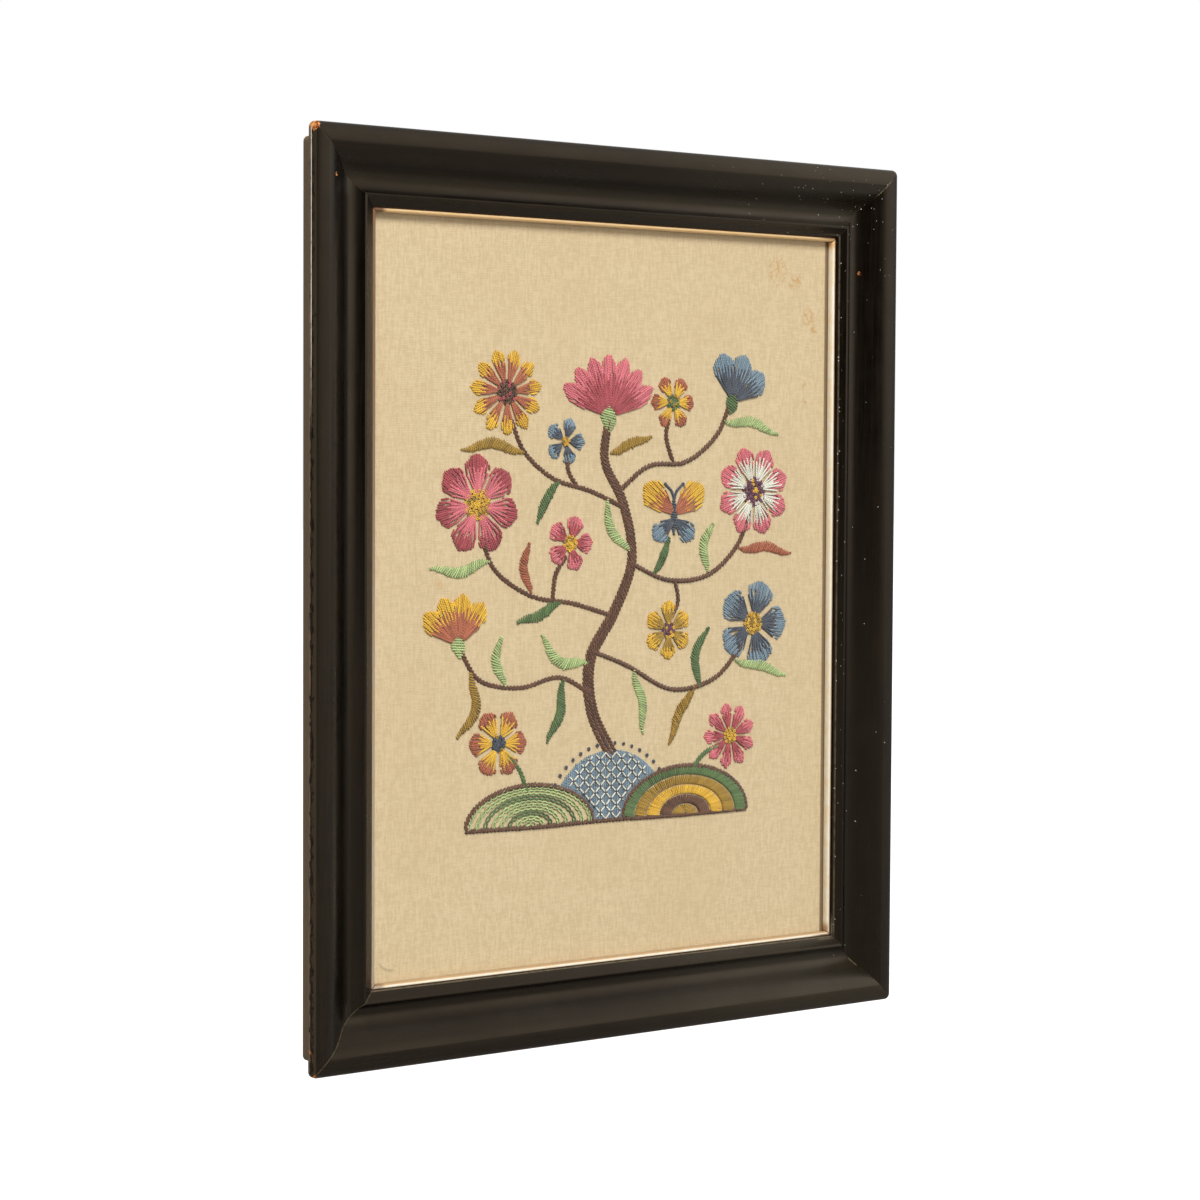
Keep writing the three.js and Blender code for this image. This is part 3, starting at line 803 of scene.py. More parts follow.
TRELLIS = 6.2
for slope in (-1, 1):
    for offset in np.arange(-12, 13) * TRELLIS:
        s = np.linspace(-60, 60, 241)
        x, z = offset + s, FOOT + slope * s + 10
        keep = np.array([inside("trellis", a, b, 0.8) and not covered(a, b, -1.5) and b > FOOT
                         for a, b in zip(x, z)])
        shown = np.flatnonzero(keep)
        for part in np.split(shown, np.flatnonzero(np.diff(shown) > 1) + 1):
            if len(part) > 6:
                ends = s[part[[0, -1]]]
                lay("cream", np.stack((offset + ends, FOOT + slope * ends + 10), 1),
                    width=0.9, lift=0.34, body=0.5, base=0.42, wander=0.05)
for i in range(-24, 25):
    for j in range(-24, 25):
        x, z = (i + j) * TRELLIS / 2, FOOT + 10 + (i - j) * TRELLIS / 2
        if inside("trellis", x, z, 1.4) and not covered(x, z, -1.5) and z > FOOT + 1:
            for dx, dz in ((1.1, 0), (0, 1.1)):
                lay("slate", [(x - dx, z - dz), (x + dx, z + dz)],
                    width=0.8, lift=0.42, body=0.5, base=0.62, wander=0.0)


def chain_row(colour, line, link=4.0, width=1.5):
    """Loops, one out of the other, along a line of points."""
    line = np.asarray(line, dtype=float)
    run = np.concatenate(([0.0], np.cumsum(np.linalg.norm(np.diff(line, axis=0), axis=1))))
    tangent = np.gradient(line, axis=0)
    tangent /= np.linalg.norm(tangent, axis=1, keepdims=True)
    count = max(1, int(run[-1] / (link * 0.78)))
    for k in range(count):
        s0 = k * run[-1] / count
        for way in (-1, 1):
            t = np.linspace(0, 1, 6)
            s = np.clip(s0 + t * link, 0, run[-1])
            x, z = np.interp(s, run, line[:, 0]), np.interp(s, run, line[:, 1])
            tx, tz = np.interp(s, run, tangent[:, 0]), np.interp(s, run, tangent[:, 1])
            off = way * width / 2 * np.sin(np.pi * t ** 0.8) ** 0.7
            lay(colour, np.stack((x - tz * off, z + tx * off), 1), width=0.9, lift=0.32, body=0.7,
                wander=0.04)


def mound_line(mound, share, samples=80):
    middle, half_width, height = MOUNDS[mound]
    angle = np.linspace(math.pi, 0, samples)
    return np.stack((middle + half_width * share * np.cos(angle),
                     FOOT + height * share * np.sin(angle)), 1)


_, half_width, height = MOUNDS["chain"]
rows = 8
for row in range(rows):
    share = (row + 0.6) / rows
    colour = "dark_green" if row in (2, 5) else "light_green"
    chain_row(colour, mound_line("chain", share), width=1.7)

middle, half_width, height = MOUNDS["bands"]
band_colours = ["khaki", "brown", "mustard", "khaki", "dark_green"]
for band, colour in enumerate(band_colours):
    inner_share, outer_share = band / len(band_colours), (band + 1) / len(band_colours)
    arc = math.pi * (half_width + height) / 2 * outer_share
    count = max(6, int(arc / STRAND_PITCH))
    for k in range(count):
        angle = math.pi * (k + 0.5) / count
        lean = 0.06
        near = (middle + half_width * (inner_share + 0.01) * math.cos(angle),
                FOOT + height * (inner_share + 0.01) * math.sin(angle))
        far = (middle + half_width * outer_share * math.cos(angle - lean) + rng.normal(0, 0.1),
               FOOT + height * outer_share * math.sin(angle - lean) + rng.normal(0, 0.1))
        lay(colour, [near, far])

foot_lines = [[(-82, FOOT), (-40, FOOT - 0.5), (0, FOOT), (40, FOOT - 0.5), (83, FOOT)]]
for line in foot_lines:
    stem_rows(["brown", "brown"], line, 2.0, 2.0)
for mound in ("chain", "bands"):
    stem_rows(["brown", "khaki"], mound_line(mound, 1.0, 14), 1.8, 1.8)
for angle in np.linspace(0.25, math.pi - 0.25, 20):
    x, z = 37 * math.cos(angle), FOOT + 36 * math.sin(angle)
    if not covered(x, z):
        knots["slate"].append((x, z, 0.42, rng.random()))
print(f"hillocks: {sum(map(len, strands.values()))} stitches, {sum(map(len, knots.values()))} knots")

# %% Meshes of the yarn, one for each colour
RING_STEPS, RING_SIDES = 9, 5
RING_RADIUS, RING_WIDE, RING_DEEP = 0.56, 0.84, 0.74


def knot_mesh(items, start):
    """French knots: closed rings that almost fill their own middle."""
    turn_by = 2 * np.pi * np.arange(RING_STEPS) / RING_STEPS
    round_it = 2 * np.pi * np.arange(RING_SIDES) / RING_SIDES
    vertices, quads, along, around, thread = [], [], [], [], []
    for x, z, lift, random_share in items:
        radius = RING_RADIUS * (1 + 0.12 * np.sin(turn_by + random_share * 6.28))
        size = 0.92 + 0.16 * random_share
        reach = radius[:, None] + np.cos(round_it)[None, :] * RING_WIDE / 2
        ring = np.stack((x + size * reach * np.cos(turn_by + random_share * 9)[:, None],
                         z + size * reach * np.sin(turn_by + random_share * 9)[:, None],
                         lift + size * (np.sin(round_it)[None, :] * RING_DEEP / 2
                                        + 0.08 * np.sin(turn_by)[:, None])), 2)
        vertices.append(ring.reshape(-1, 3))
        i, j = np.meshgrid(np.arange(RING_STEPS), np.arange(RING_SIDES), indexing="ij")
        i2, j2 = (i + 1) % RING_STEPS, (j + 1) % RING_SIDES
        ring_quads = np.stack((i * RING_SIDES + j, i2 * RING_SIDES + j, i2 * RING_SIDES + j2,
                               i * RING_SIDES + j2), 2).reshape(-1, 4)
        quads.extend((ring_quads + start).tolist())
        along.append(np.repeat(turn_by * RING_RADIUS, RING_SIDES))
        around.append(np.tile(round_it / (2 * np.pi), RING_STEPS))
        thread.append(np.full(RING_STEPS * RING_SIDES, random_share))
        start += RING_STEPS * RING_SIDES
    return vertices, quads, along, around, thread


yarns = {}
for name in yarn_colours:
    vertices, quads, caps, along, around, thread = strand_mesh(strands[name])
    more = knot_mesh(knots[name], sum(map(len, vertices)))
    vertices, along = np.concatenate(vertices + more[0]), np.concatenate(along + more[2])
    around, thread = np.concatenate(around + more[3]), np.concatenate(thread + more[4])
    quads = quads + more[1]
    faces = quads + caps
    points = np.stack((vertices[:, 0], -(LINEN_FRONT + vertices[:, 2]), vertices[:, 1] + MIDDLE_Z), 1)
    mesh = bpy.data.meshes.new(f"crewel_{name}")
    mesh.from_pydata((points * MM).tolist(), [], faces)
    corner = np.empty(len(mesh.loops), dtype=np.int32)
    mesh.loops.foreach_get("vertex_index", corner)
    once_round = around[corner]
    of_quads = once_round[:4 * len(quads)].reshape(-1, 4)
    of_quads[(of_quads < 0.4) & (of_quads.max(axis=1, keepdims=True) > 0.7)] += 1.0
    uv = mesh.uv_layers.new(name="strand")
    uv.data.foreach_set("uv", np.stack((along[corner], once_round), 1).ravel())
    mesh.attributes.new("thread", "FLOAT", "POINT").data.foreach_set("value", thread)
    mesh.shade_smooth()
    piece = bpy.data.objects.new(f"crewel_{name}", mesh)
    bpy.context.collection.objects.link(piece)
    yarns[name] = piece
    triangles = sum(len(f) - 2 for f in faces)
    print(f"crewel_{name}: {len(strands[name])} stitches, {len(knots[name])} knots, {triangles} triangles")

# %% Turn the yarn's faces outwards
for piece in yarns.values():
    deselect_all()
    piece.select_set(True)
    bpy.context.view_layer.objects.active = piece
    bpy.ops.object.mode_set(mode="EDIT")
    bpy.ops.mesh.select_all(action="SELECT")
    bpy.ops.mesh.normals_make_consistent(inside=False)
    bpy.ops.object.mode_set(mode="OBJECT")
print("yarn normals face outwards")

# %% [markdown]
# ## Finishes
#
# Every finish is made from its place on the object, in metres, so that a pattern has its real size.
# First come effects that more than one finish uses: where a point is on the frame, and the cloth's
# weave.

# %% Shared effects
tree, given, made = group(
    "place_on_frame", [("Place", "Vector", None)],
    [("Edge", "Float"), ("Mitre", "Float"), ("Height", "Float"), ("Along", "Float")])
axes = node(tree, "SeparateXYZ", {0: given.outputs["Place"]})
x_in = math_node(tree, "SUBTRACT", WIDTH / 2 * MM, math_node(tree, "ABSOLUTE", axes.outputs[0]))
z_off = math_node(tree, "SUBTRACT", axes.outputs[2], MIDDLE_Z * MM)
z_in = math_node(tree, "SUBTRACT", HEIGHT / 2 * MM, math_node(tree, "ABSOLUTE", z_off))
edge = math_node(tree, "DIVIDE", math_node(tree, "MINIMUM", x_in, z_in), MM)
mitre = math_node(tree, "DIVIDE", math_node(tree, "ABSOLUTE", math_node(tree, "SUBTRACT", x_in, z_in)),
                  MM * math.sqrt(2))
tree.links.new(edge, made.inputs["Edge"])
tree.links.new(mitre, made.inputs["Mitre"])
tree.links.new(math_node(tree, "DIVIDE", axes.outputs[1], -MM), made.inputs["Height"])
tree.links.new(math_node(tree, "DIVIDE", z_off, MM), made.inputs["Along"])

tree, given, made = group(
    "scuffs", [("Place", "Vector", None), ("Scale", "Float", 400.0), ("Amount", "Float", 0.5)],
    [("Mask", "Float")])
rough = noise(tree, given.outputs["Place"], given.outputs["Scale"], detail=5.0, roughness=0.65)
low = math_node(tree, "SUBTRACT", 0.78, math_node(tree, "MULTIPLY", given.outputs["Amount"], 0.4))
mask = node(tree, "MapRange", {"Value": rough, "From Min": low,
                               "From Max": math_node(tree, "ADD", low, 0.06)})
tree.links.new(mask.outputs["Result"], made.inputs["Mask"])

THREAD = 0.75 * MM
tree, given, made = group(
    "weave", [("Place", "Vector", None)], [("Height", "Float"), ("Slub", "Float"), ("Gap", "Float")])
wander = node(tree, "TexNoise", {"Vector": given.outputs["Place"], "Scale": 70.0, "Detail": 2.0})
shift = node(tree, "VectorMath", {0: wander.outputs["Color"], 1: (0.0012, 0.0, 0.0012)},
             operation="MULTIPLY").outputs[0]
bent = node(tree, "VectorMath", {0: given.outputs["Place"], 1: shift}, operation="ADD").outputs[0]
axes = node(tree, "SeparateXYZ", {0: bent})
across = math_node(tree, "MULTIPLY", axes.outputs[0], 2 * math.pi / THREAD)
up = math_node(tree, "MULTIPLY", axes.outputs[2], 2 * math.pi / THREAD)
warp = math_node(tree, "ABSOLUTE", math_node(tree, "SINE", math_node(tree, "MULTIPLY", across, 0.5)))
weft = math_node(tree, "ABSOLUTE", math_node(tree, "SINE", math_node(tree, "MULTIPLY", up, 0.5)))
over = math_node(tree, "MULTIPLY", math_node(tree, "COSINE", math_node(tree, "MULTIPLY", across, 0.5)),
                 math_node(tree, "COSINE", math_node(tree, "MULTIPLY", up, 0.5)))
warp_up = ramp(tree, over, -0.3, 0.3)
woven = node(tree, "Mix", {0: warp_up, 2: weft, 3: warp}, data_type="FLOAT").outputs[0]
weft_tone = noise(tree, stretch(tree, given.outputs["Place"], 250, 110, 1000), 1.0, 2.0, 0.6)
warp_tone = noise(tree, stretch(tree, given.outputs["Place"], 1000, 110, 220), 1.0, 2.0, 0.6)
slub = math_node(tree, "ADD", math_node(tree, "MULTIPLY", weft_tone, 0.42),
                 math_node(tree, "MULTIPLY", warp_tone, 0.58))
tree.links.new(woven, made.inputs["Height"])
tree.links.new(slub, made.inputs["Slub"])
tree.links.new(math_node(tree, "MULTIPLY", warp, weft), made.inputs["Gap"])
print("groups:", [g.name for g in bpy.data.node_groups])

# %% [markdown]
# ### Lacquered wood
#
# The frame is nearly black, a brown that has darkened under semi-gloss lacquer. It is old: the front edge on
# the left is rubbed, two corners are chipped to bare wood, and dust sits on the right rail. Light is painted
# in too: a highlight on the rubbed left edge and along the sight edge at the right and the foot, a sheen in
# the scoops, and a lighter tone towards the right on the top and bottom rails.

# %% Lacquer
lacquer, tree, shader, place = new_material("lacquered_wood", Specular_Tint=(1.0, 0.80, 0.56, 1.0))
spot = use_group(tree, "place_on_frame", {"Place": place})
axes = node(tree, "SeparateXYZ", {0: place})
x_mm = math_node(tree, "DIVIDE", axes.outputs[0], MM)
z_mm = spot.outputs["Along"]
grain = noise(tree, place, 160.0, 5.0, 0.6)
colour = mix_colour(tree, ramp(tree, grain, 0.3, 0.75), linear(5, 3, 2), linear(12, 8, 5))



def near(value, middle, half, fade):
    """One within half of the middle, and nothing beyond half + fade."""
    off = math_node(tree, "ABSOLUTE", math_node(tree, "SUBTRACT", value, middle))
    return ramp(tree, off, half + fade, half)


def both(*masks):
    product = masks[0]
    for mask in masks[1:]:
        product = math_node(tree, "MULTIPLY", product, mask)
    return product


edge_mm, height_mm = spot.outputs["Edge"], spot.outputs["Height"]
run_mm = math_node(tree, "ADD", x_mm, z_mm)
rail_place = node(tree, "CombineXYZ", {0: edge_mm, 1: height_mm, 2: math_node(tree, "MULTIPLY", run_mm, 0.03)})
streaky = noise(tree, rail_place.outputs[0], 1.1, 4.0, 0.65)
colour = mix_colour(tree, ramp(tree, streaky, 0.42, 0.68, 0.0, 0.5), colour, linear(27, 19, 12))
wide_rail = math_node(tree, "GREATER_THAN",
                      math_node(tree, "SUBTRACT", math_node(tree, "ABSOLUTE", z_mm),
                                math_node(tree, "ABSOLUTE", x_mm)), (HEIGHT - WIDTH) / 2)
# Painted light: the top and bottom rails are given a lighter colour towards the right.
painted_light_to_right = both(wide_rail, ramp(tree, x_mm, -20.0, 120.0, 0.0, 0.36))
colour = mix_colour(tree, painted_light_to_right, colour, linear(56, 50, 38))
foot_rub = both(ramp(tree, edge_mm, 0.9, 0.4), near(height_mm, 16.0, 0.9, 0.4),
                ramp(tree, z_mm, -195.0, -200.0, 0.0, 0.85),
                ramp(tree, noise(tree, place, 140.0, 4.0), 0.42, 0.6))
colour = mix_colour(tree, foot_rub, colour, linear(112, 62, 38))
on_left, on_top = ramp(tree, x_mm, 1.0, -1.0), ramp(tree, z_mm, -1.0, 1.0)
on_right, at_foot = ramp(tree, x_mm, -1.0, 1.0), ramp(tree, z_mm, 1.0, -1.0)
# Painted sheen: a lighter band in the scoop of the top rail and of the left rail stands in for reflected
# light.
scoop_sheen = math_node(tree, "ADD", both(wide_rail, on_top, near(edge_mm, 20.5, 2.4, 1.6), 0.3),
                 both(ramp(tree, x_mm, -134.0, -140.0), near(edge_mm, 22.0, 1.4, 1.2), 0.14))
colour = mix_colour(tree, scoop_sheen, colour, linear(56, 50, 38))

rubbed_side = both(ramp(tree, height_mm, 12.9, 12.6), near(edge_mm, REAR_INSET, 1.0, 0.5),
                   ramp(tree, x_mm, -140.0, -160.0, 0.45, 0.9))
colour = mix_colour(tree, rubbed_side, colour, linear(132, 112, 86))

top_right_line = math_node(tree, "ADD", 0.06, both(near(edge_mm, 9.0, 3.0, 2.0), 0.55))
foot_right_line = math_node(tree, "ADD", 0.08, both(near(edge_mm, 20.0, 1.2, 1.0), 0.55))
line_amount = 0.0
for corner_line in (both(on_left, on_top, 0.05), both(on_left, at_foot, 0.26),
                    both(on_right, on_top, top_right_line), both(on_right, at_foot, foot_right_line)):
    line_amount = math_node(tree, "ADD", line_amount, corner_line)
mitre_line = both(ramp(tree, spot.outputs["Mitre"], 0.3, 0.12), line_amount,
                  ramp(tree, noise(tree, place, 900.0), 0.35, 0.6, 0.35, 1.0))
colour = mix_colour(tree, mitre_line, colour, linear(168, 148, 112))

lip = both(ramp(tree, x_mm, -164.0, -167.0), ramp(tree, edge_mm, 2.0, 1.4))
streaks = noise(tree, stretch(tree, place, 1.0, 1.0, 0.12), 900.0, 3.0, 0.6)
lip_side = both(lip, near(height_mm, 13.7, 0.9, 0.25), ramp(tree, streaks, 0.3, 0.65, 0.35, 0.9))
colour = mix_colour(tree, lip_side, colour, linear(150, 116, 92))
jagged = math_node(tree, "SUBTRACT", noise(tree, stretch(tree, place, 1.0, 1.0, 0.4), 620.0, 4.0, 0.6), 0.5)
uneven_height = math_node(tree, "ADD", height_mm, math_node(tree, "MULTIPLY", jagged, 5.0))
worn_shoulder = both(lip, near(height_mm, 16.0, 1.2, 0.4), 0.6)
colour = mix_colour(tree, worn_shoulder, colour, linear(66, 56, 42))
dark_flakes = both(lip, near(uneven_height, 15.0, 0.5, 0.2), ramp(tree, z_mm, 150.0, 90.0, 0.75, 1.0))
colour = mix_colour(tree, dark_flakes, colour, linear(8, 6, 4))
# The left front edge is painted near white: partly wear, partly a painted highlight.
worn_edge_and_highlight = both(lip, near(height_mm, 14.9, 0.2, 0.16), ramp(tree, z_mm, 70.0, 125.0),
              ramp(tree, noise(tree, place, 420.0), 0.3, 0.5, 0.6, 1.0))
colour = mix_colour(tree, worn_edge_and_highlight, colour, linear(240, 234, 220))

# Painted highlight: a pale line along the sight edge of the right rail and of the bottom rail.
at_right = both(near(edge_mm, 33.3, 0.25, 0.25), ramp(tree, x_mm, 120.0, 130.0), 0.6)
at_bottom = both(ramp(tree, edge_mm, 33.75, 34.05), ramp(tree, z_mm, -160.0, -168.0))
sight_edge_highlight = both(math_node(tree, "MAXIMUM", at_right, at_bottom),
                  ramp(tree, noise(tree, place, 300.0), 0.3, 0.6, 0.3, 0.75))
colour = mix_colour(tree, sight_edge_highlight, colour, linear(118, 106, 84))


def chip(at, reach, jitter=0.9):
    """A mask round a point of the frame, with a broken outline. at is in millimetres."""
    away = node(tree, "VectorMath", {0: place, 1: Vector(at) * MM}, operation="DISTANCE").outputs["Value"]
    away = math_node(tree, "DIVIDE", away, MM)
    broken = math_node(tree, "ADD", away, math_node(tree, "MULTIPLY", noise(tree, place, 900.0), jitter * 4))
    return ramp(tree, broken, reach + jitter * 2 + 0.5, reach + jitter * 2)


chips = 0.0
for at, reach in (((-168.0, -15.5, HEIGHT / 2 + MIDDLE_Z - 1.6), 2.1),
                  ((-167.6, -14.9, -HEIGHT / 2 + MIDDLE_Z + 0.6), 1.1),
                  ((-169.0, -14.6, -HEIGHT / 2 + MIDDLE_Z + 12.0), 0.5),
                  ((-157.2, -16.1, HEIGHT / 2 + MIDDLE_Z - 22.3), 0.3),
                  ((149.4, -9.6, HEIGHT / 2 + MIDDLE_Z - 51.6), 0.5)):
    chips = math_node(tree, "MAXIMUM", chips, chip(at, reach))
bare = mix_colour(tree, ramp(tree, noise(tree, place, 620.0, 4.0), 0.36, 0.62), linear(120, 52, 22),
                  linear(236, 164, 100))
colour = mix_colour(tree, chips, colour, bare)

specks = node(tree, "TexVoronoi", {"Vector": place, "Scale": 400.0, "Randomness": 1.0})
pick = node(tree, "SeparateColor", {0: specks.outputs["Color"]})
size = ramp(tree, pick.outputs[1], 0.0, 1.0, 0.05, 0.12)
tiny = math_node(tree, "LESS_THAN", specks.outputs["Distance"], size)
density = math_node(tree, "MAXIMUM", both(ramp(tree, x_mm, 20.0, 130.0), ramp(tree, z_mm, 165.0, 180.0)),
                    both(ramp(tree, edge_mm, 27.0, 30.0), ramp(tree, x_mm, 125.0, 132.0)))
density = math_node(tree, "MAXIMUM", density, both(ramp(tree, x_mm, 125.0, 135.0), 0.12))
chosen = math_node(tree, "GREATER_THAN", pick.outputs[0],
                   math_node(tree, "SUBTRACT", 1.0, both(density, 0.85)))
dust = both(tiny, chosen)
colour = mix_colour(tree, math_node(tree, "MULTIPLY", dust, 0.8), colour, linear(214, 210, 202))
tree.links.new(colour, shader.inputs["Base Color"])

smear = noise(tree, place, 34.0, 4.0, 0.6)
gloss = math_node(tree, "ADD", ramp(tree, smear, 0.3, 0.75, 0.26, 0.4),
                  ramp(tree, streaky, 0.35, 0.7, -0.03, 0.06))
damage = math_node(tree, "MAXIMUM", math_node(tree, "MAXIMUM", chips, dust),
                   math_node(tree, "MAXIMUM", math_node(tree, "MAXIMUM", worn_edge_and_highlight, lip_side), rubbed_side))
roughness = node(tree, "Mix", {0: damage, 2: gloss, 3: 0.8}, data_type="FLOAT").outputs[0]
tree.links.new(roughness, shader.inputs["Roughness"])
orange_peel = math_node(tree, "ADD", math_node(tree, "MULTIPLY", noise(tree, place, 480.0, 3.0), 0.5),
                        math_node(tree, "MULTIPLY", chips, -2.0))
bump = node(tree, "Bump", {"Height": orange_peel, "Distance": 0.00006, "Strength": 0.35})
tree.links.new(bump.outputs[0], shader.inputs["Normal"])

# %% [markdown]
# ### Gilding
#
# The slip is a champagne gold, brown at its outer edges. Shade is painted in brown at its foot next to the
# linen and over the whole left length. It is metal leaf, so its colour is in its reflections.

# %% Gilding
gilding, tree, shader, place = new_material("gilding")
spot = use_group(tree, "place_on_frame", {"Place": place})
outer_side = ramp(tree, spot.outputs["Edge"], RAIL + 0.72, RAIL + 0.4)
# Painted shade: the bead is darkened to brown at its foot, next to the linen.
foot_shade = ramp(tree, spot.outputs["Height"], LINEN_FRONT + 0.8, LINEN_FRONT + 0.3, 0.0, 0.85)
bead_x = node(tree, "SeparateXYZ", {0: place}).outputs[0]
outer_right = math_node(tree, "MULTIPLY", ramp(tree, bead_x, 0.120, 0.130),
                        ramp(tree, spot.outputs["Edge"], RAIL + 1.5, RAIL + 1.1, 0.0, 0.75))
# The bead is brown at its outer edges, and shade is painted in at its foot.
brown_edges_and_foot_shade = math_node(tree, "MAXIMUM", math_node(tree, "MAXIMUM", outer_side, foot_shade), outer_right)
tone = mix_colour(tree, ramp(tree, noise(tree, place, 260.0, 4.0), 0.3, 0.7),
                  linear(255, 248, 228), linear(252, 236, 202))
high_bead = ramp(tree, spot.outputs["Along"], 165.0, 169.0, 0.0, 0.75)
tone = mix_colour(tree, high_bead, tone, linear(236, 184, 104))
inner_side = ramp(tree, spot.outputs["Edge"], RAIL + 1.3, RAIL + 2.0)
low_bead = ramp(tree, spot.outputs["Along"], -165.0, -169.0, 0.0, 0.85)
tone = mix_colour(tree, math_node(tree, "MULTIPLY", low_bead, inner_side), tone, linear(178, 136, 84))
# Painted shade: the left length of the slip is painted a darker brown, most of all towards the top.
left_bead_shade = math_node(tree, "MULTIPLY", ramp(tree, bead_x, -0.126, -0.130),
                      ramp(tree, spot.outputs["Along"], -140.0, 130.0, 0.6, 0.93))
tone = mix_colour(tree, left_bead_shade, tone, linear(112, 72, 42))
tone = mix_colour(tree, brown_edges_and_foot_shade, tone, linear(122, 80, 44))
corner = ramp(tree, spot.outputs["Mitre"], 0.3, 0.12)
tone = mix_colour(tree, math_node(tree, "MULTIPLY", corner, 0.8), tone, linear(60, 38, 24))
worn = use_group(tree, "scuffs", {"Place": place, "Scale": 700.0, "Amount": 0.25})
tone = mix_colour(tree, math_node(tree, "MULTIPLY", worn.outputs["Mask"], 0.5), tone, linear(120, 70, 40))
tree.links.new(tone, shader.inputs["Base Color"])
metal = node(tree, "Mix", {0: math_node(tree, "MAXIMUM", brown_edges_and_foot_shade, corner), 2: 0.05, 3: 0.02},
             data_type="FLOAT").outputs[0]
tree.links.new(metal, shader.inputs["Metallic"])
tree.links.new(ramp(tree, noise(tree, place, 300.0), 0.3, 0.7, 0.3, 0.46), shader.inputs["Roughness"])
bump = node(tree, "Bump", {"Height": noise(tree, place, 900.0, 4.0), "Distance": 0.00005, "Strength": 0.5})
tree.links.new(bump.outputs[0], shader.inputs["Normal"])

# %% [markdown]
# ### Linen
#
# A plain weave of uneven threads, gone a warm beige with age. Damp has left pale brown foxing spots
# high on the right, and a grey smudge at the foot on the left.

# %% Linen finish
cloth, tree, shader, place = new_material("aged_linen", Roughness=0.92, Sheen_Weight=0.15)
weave = use_group(tree, "weave", {"Place": place})
tone = mix_colour(tree, ramp(tree, weave.outputs["Slub"], 0.36, 0.64), linear(213, 190, 149),
                  linear(227, 205, 165))
tone = mix_colour(tree, ramp(tree, weave.outputs["Gap"], 0.25, 0.0, 0.0, 0.3), tone, linear(172, 148, 106))
clouds = noise(tree, place, 14.0, 3.0)
tone = mix_colour(tree, ramp(tree, clouds, 0.35, 0.7, 0.0, 0.2), tone, linear(208, 182, 138))


def stain(at, reach, scale=180.0):
    """A soft-edged blot on the cloth. at is x and z in millimetres from the panel's middle."""
    spot = Vector((at[0], -LINEN_FRONT, at[1] + MIDDLE_Z)) * MM
    away = node(tree, "VectorMath", {0: place, 1: spot}, operation="DISTANCE").outputs["Value"]
    away = math_node(tree, "DIVIDE", away, MM)
    uneven = math_node(tree, "MULTIPLY", noise(tree, place, scale), reach * 1.2)
    return ramp(tree, math_node(tree, "ADD", away, uneven), reach * 1.7, reach * 0.9)


patches = 0.0
for at, reach in (((101, 155), 8.0), ((112, 150), 5.0), ((120, 133), 5.5), ((124, 127), 3.0),
                  ((118, 100), 2.4), ((118, 92), 2.4)):
    patches = math_node(tree, "MAXIMUM", patches, stain(at, reach))
curls = math_node(tree, "ABSOLUTE", math_node(tree, "SUBTRACT", noise(tree, place, 210.0, 2.0), 0.5))
foxing = math_node(tree, "MULTIPLY", patches, ramp(tree, curls, 0.055, 0.01))
tone = mix_colour(tree, math_node(tree, "MULTIPLY", patches, 0.12), tone, linear(214, 172, 112))
tone = mix_colour(tree, math_node(tree, "MULTIPLY", foxing, 0.6), tone, linear(196, 140, 76))
tone = mix_colour(tree, math_node(tree, "MULTIPLY", stain((-96, 6), 2.6), 0.3), tone, linear(206, 158, 92))
# Painted shade: a brown band on the cloth along the foot of the right slip.
shade_beside_slip = ramp(tree, node(tree, "SeparateXYZ", {0: place}).outputs[0], 130.4 * MM, 131.2 * MM, 0.0, 0.75)
tone = mix_colour(tree, shade_beside_slip, tone, linear(92, 62, 30))
arc_middle = Vector((-121.5, -LINEN_FRONT, MIDDLE_Z - 158.5)) * MM
from_arc = node(tree, "VectorMath", {0: place, 1: arc_middle}, operation="DISTANCE").outputs["Value"]
off_arc = math_node(tree, "ABSOLUTE", math_node(tree, "SUBTRACT", from_arc, 7.0 * MM))
below = ramp(tree, node(tree, "SeparateXYZ", {0: place}).outputs[2],
             (MIDDLE_Z - 161.0) * MM, (MIDDLE_Z - 163.0) * MM)
left_of = ramp(tree, node(tree, "SeparateXYZ", {0: place}).outputs[0], -119.5 * MM, -121.5 * MM)
streak = math_node(tree, "MULTIPLY", ramp(tree, off_arc, 1.1 * MM, 0.2 * MM),
                   math_node(tree, "MULTIPLY", below, left_of))
tone = mix_colour(tree, math_node(tree, "MULTIPLY", streak, 0.36), tone, linear(138, 126, 104))
tone = mix_colour(tree, stain((-131.2, -169.6), 0.7, 400.0), tone, linear(96, 56, 34))
tree.links.new(tone, shader.inputs["Base Color"])
bump = node(tree, "Bump", {"Height": weave.outputs["Height"], "Distance": 0.00012, "Strength": 0.6})
tree.links.new(bump.outputs[0], shader.inputs["Normal"])

# %% [markdown]
# ### Wool
#
# Two plies are twisted together, so fine slanting furrows run round each strand. Each stitch has a
# slightly different tone, because it takes the light at its own angle and the dye is uneven.

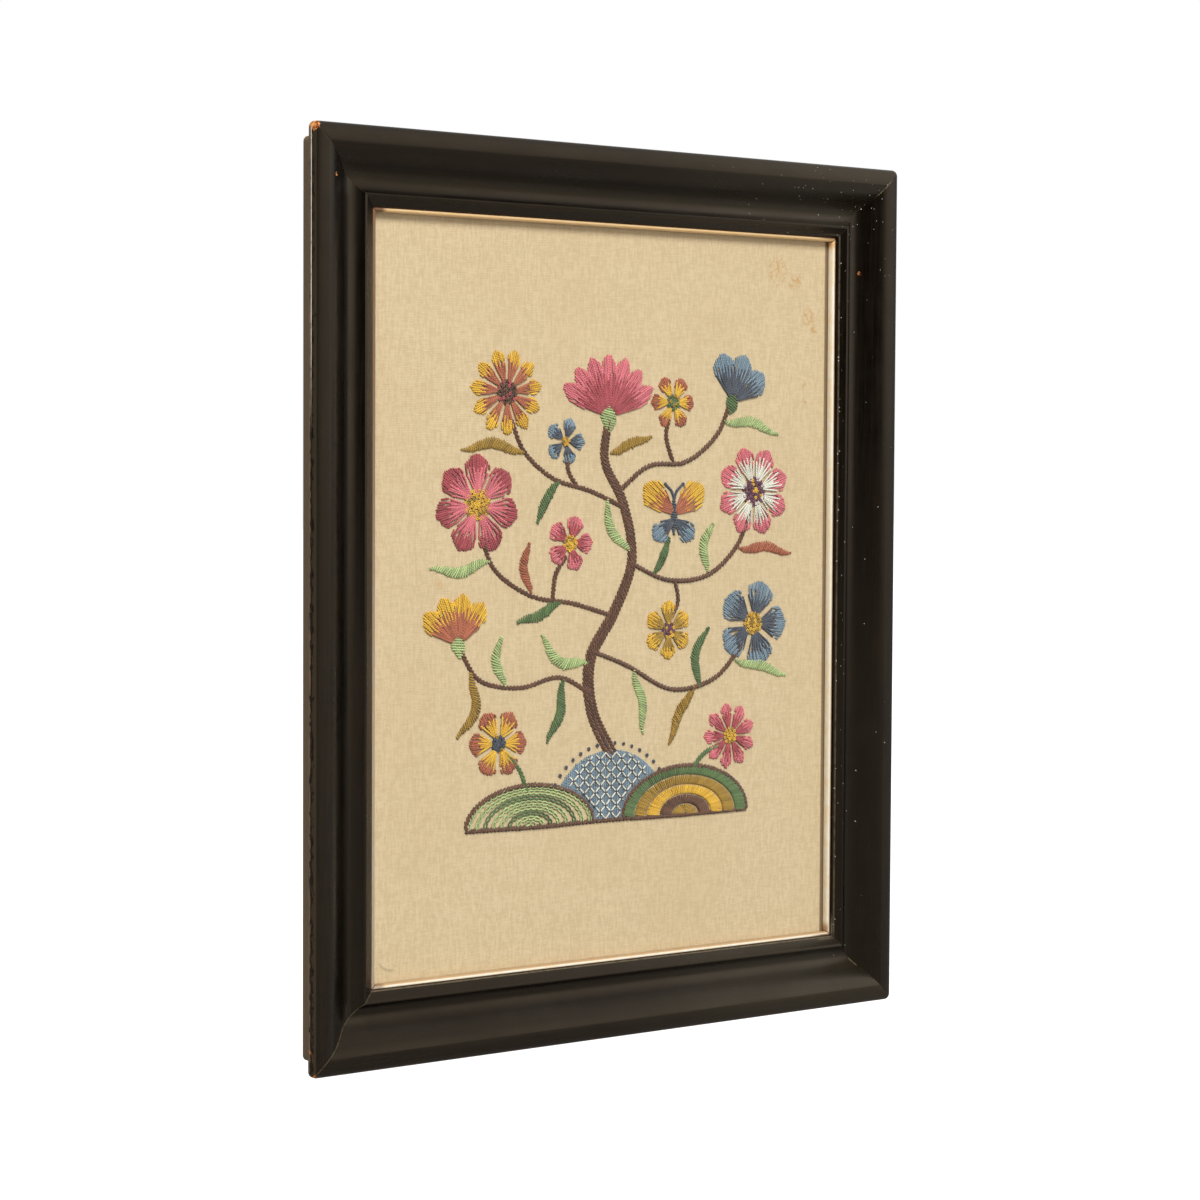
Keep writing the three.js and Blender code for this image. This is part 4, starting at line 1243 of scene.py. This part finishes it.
# %% Wool finish
def wool(name, rgb):
    material, tree, shader, place = new_material(f"crewel_wool_{name}", Roughness=0.85,
                                                 Sheen_Weight=0.35, Sheen_Roughness=0.5)
    along = node(tree, "UVMap", uv_map="strand").outputs[0]
    axes = node(tree, "SeparateXYZ", {0: along})
    turns = math_node(tree, "ADD", math_node(tree, "DIVIDE", axes.outputs[0], 2.4), axes.outputs[1])
    ply = math_node(tree, "SINE", math_node(tree, "MULTIPLY", turns, 4 * math.pi))
    share = node(tree, "Attribute", attribute_name="thread").outputs["Fac"]
    fibre = noise(tree, place, 2600.0, 3.0, 0.7)
    rgb = [min(250, c * 1.06 + 6) for c in rgb]
    light, dark = [min(255, c * 1.08 + 4) for c in rgb], [c * 0.86 for c in rgb]
    tone = mix_colour(tree, share, linear(*dark), linear(*light))
    tone = mix_colour(tree, ramp(tree, fibre, 0.3, 0.7, 0.0, 0.45), tone, linear(*rgb))
    # Painted shade: the furrows between the two plies are darkened.
    furrow_shade = ramp(tree, ply, -0.6, -1.0, 0.0, 0.45)
    tone = mix_colour(tree, furrow_shade, tone, linear(*[c * 0.5 for c in rgb]))
    # Painted shade: a brown stitch is darkened at its start, where it tucks under the row.
    if name == "brown":
        tuck_shade = ramp(tree, axes.outputs[0], 1.35, 0.55, 0.0, 0.75)
        tone = mix_colour(tree, tuck_shade, tone, linear(*[c * 0.45 for c in rgb]))
    # Painted shade: each strand is darkened along its two sides, where it meets its neighbours.
    flank_shade = math_node(tree, "SINE", math_node(tree, "MULTIPLY", axes.outputs[1], 2 * math.pi))
    tone = mix_colour(tree, ramp(tree, flank_shade, 0.92, 0.1, 0.0, 0.7), tone, linear(*[c * 0.6 for c in rgb]))
    tree.links.new(tone, shader.inputs["Base Color"])
    relief = math_node(tree, "ADD", ply, math_node(tree, "MULTIPLY", fibre, 1.2))
    bump = node(tree, "Bump", {"Height": relief, "Distance": 0.00012, "Strength": 0.6})
    tree.links.new(bump.outputs[0], shader.inputs["Normal"])
    return material


for name, piece in yarns.items():
    piece.data.materials.append(wool(name, yarn_colours[name]))
for rail in rails.values():
    rail.data.materials.append(lacquer)
for slip in slips.values():
    slip.data.materials.append(gilding)
linen.data.materials.append(cloth)

# %% Hardboard at the back
hardboard, tree, shader, place = new_material("hardboard", Roughness=0.88)
fibres = noise(tree, place, 1400.0, 5.0, 0.7)
patches = noise(tree, place, 30.0, 4.0)
tone = mix_colour(tree, ramp(tree, fibres, 0.3, 0.7), linear(96, 68, 44), linear(140, 104, 70))
tone = mix_colour(tree, ramp(tree, patches, 0.4, 0.7, 0.0, 0.4), tone, linear(84, 60, 42))
tree.links.new(tone, shader.inputs["Base Color"])
mesh_mark = node(tree, "TexVoronoi", {"Vector": place, "Scale": 900.0}).outputs["Distance"]
bump = node(tree, "Bump", {"Height": math_node(tree, "ADD", fibres, mesh_mark), "Distance": 0.0001,
                           "Strength": 0.5})
tree.links.new(bump.outputs[0], shader.inputs["Normal"])
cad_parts["backing_board"].material_slots[0].material = hardboard
print("finishes:", [m.name for m in bpy.data.materials if m.users])

# %% [markdown]
# ## Fitting the pieces to the model
#
# Each piece rides on the root body, and the imported solid that it stands for is hidden. The linen was cut to
# the size of the picture sheet and is stretched on the board.

for side, rail in rails.items():
    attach(rail, "root")
    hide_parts(f"rail_{side}")
for side, slip in slips.items():
    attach(slip, "root")
    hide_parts(f"slip_{side}")
for piece in (linen, *yarns.values()):
    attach(piece, "root")
    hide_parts("embroidered_linen")
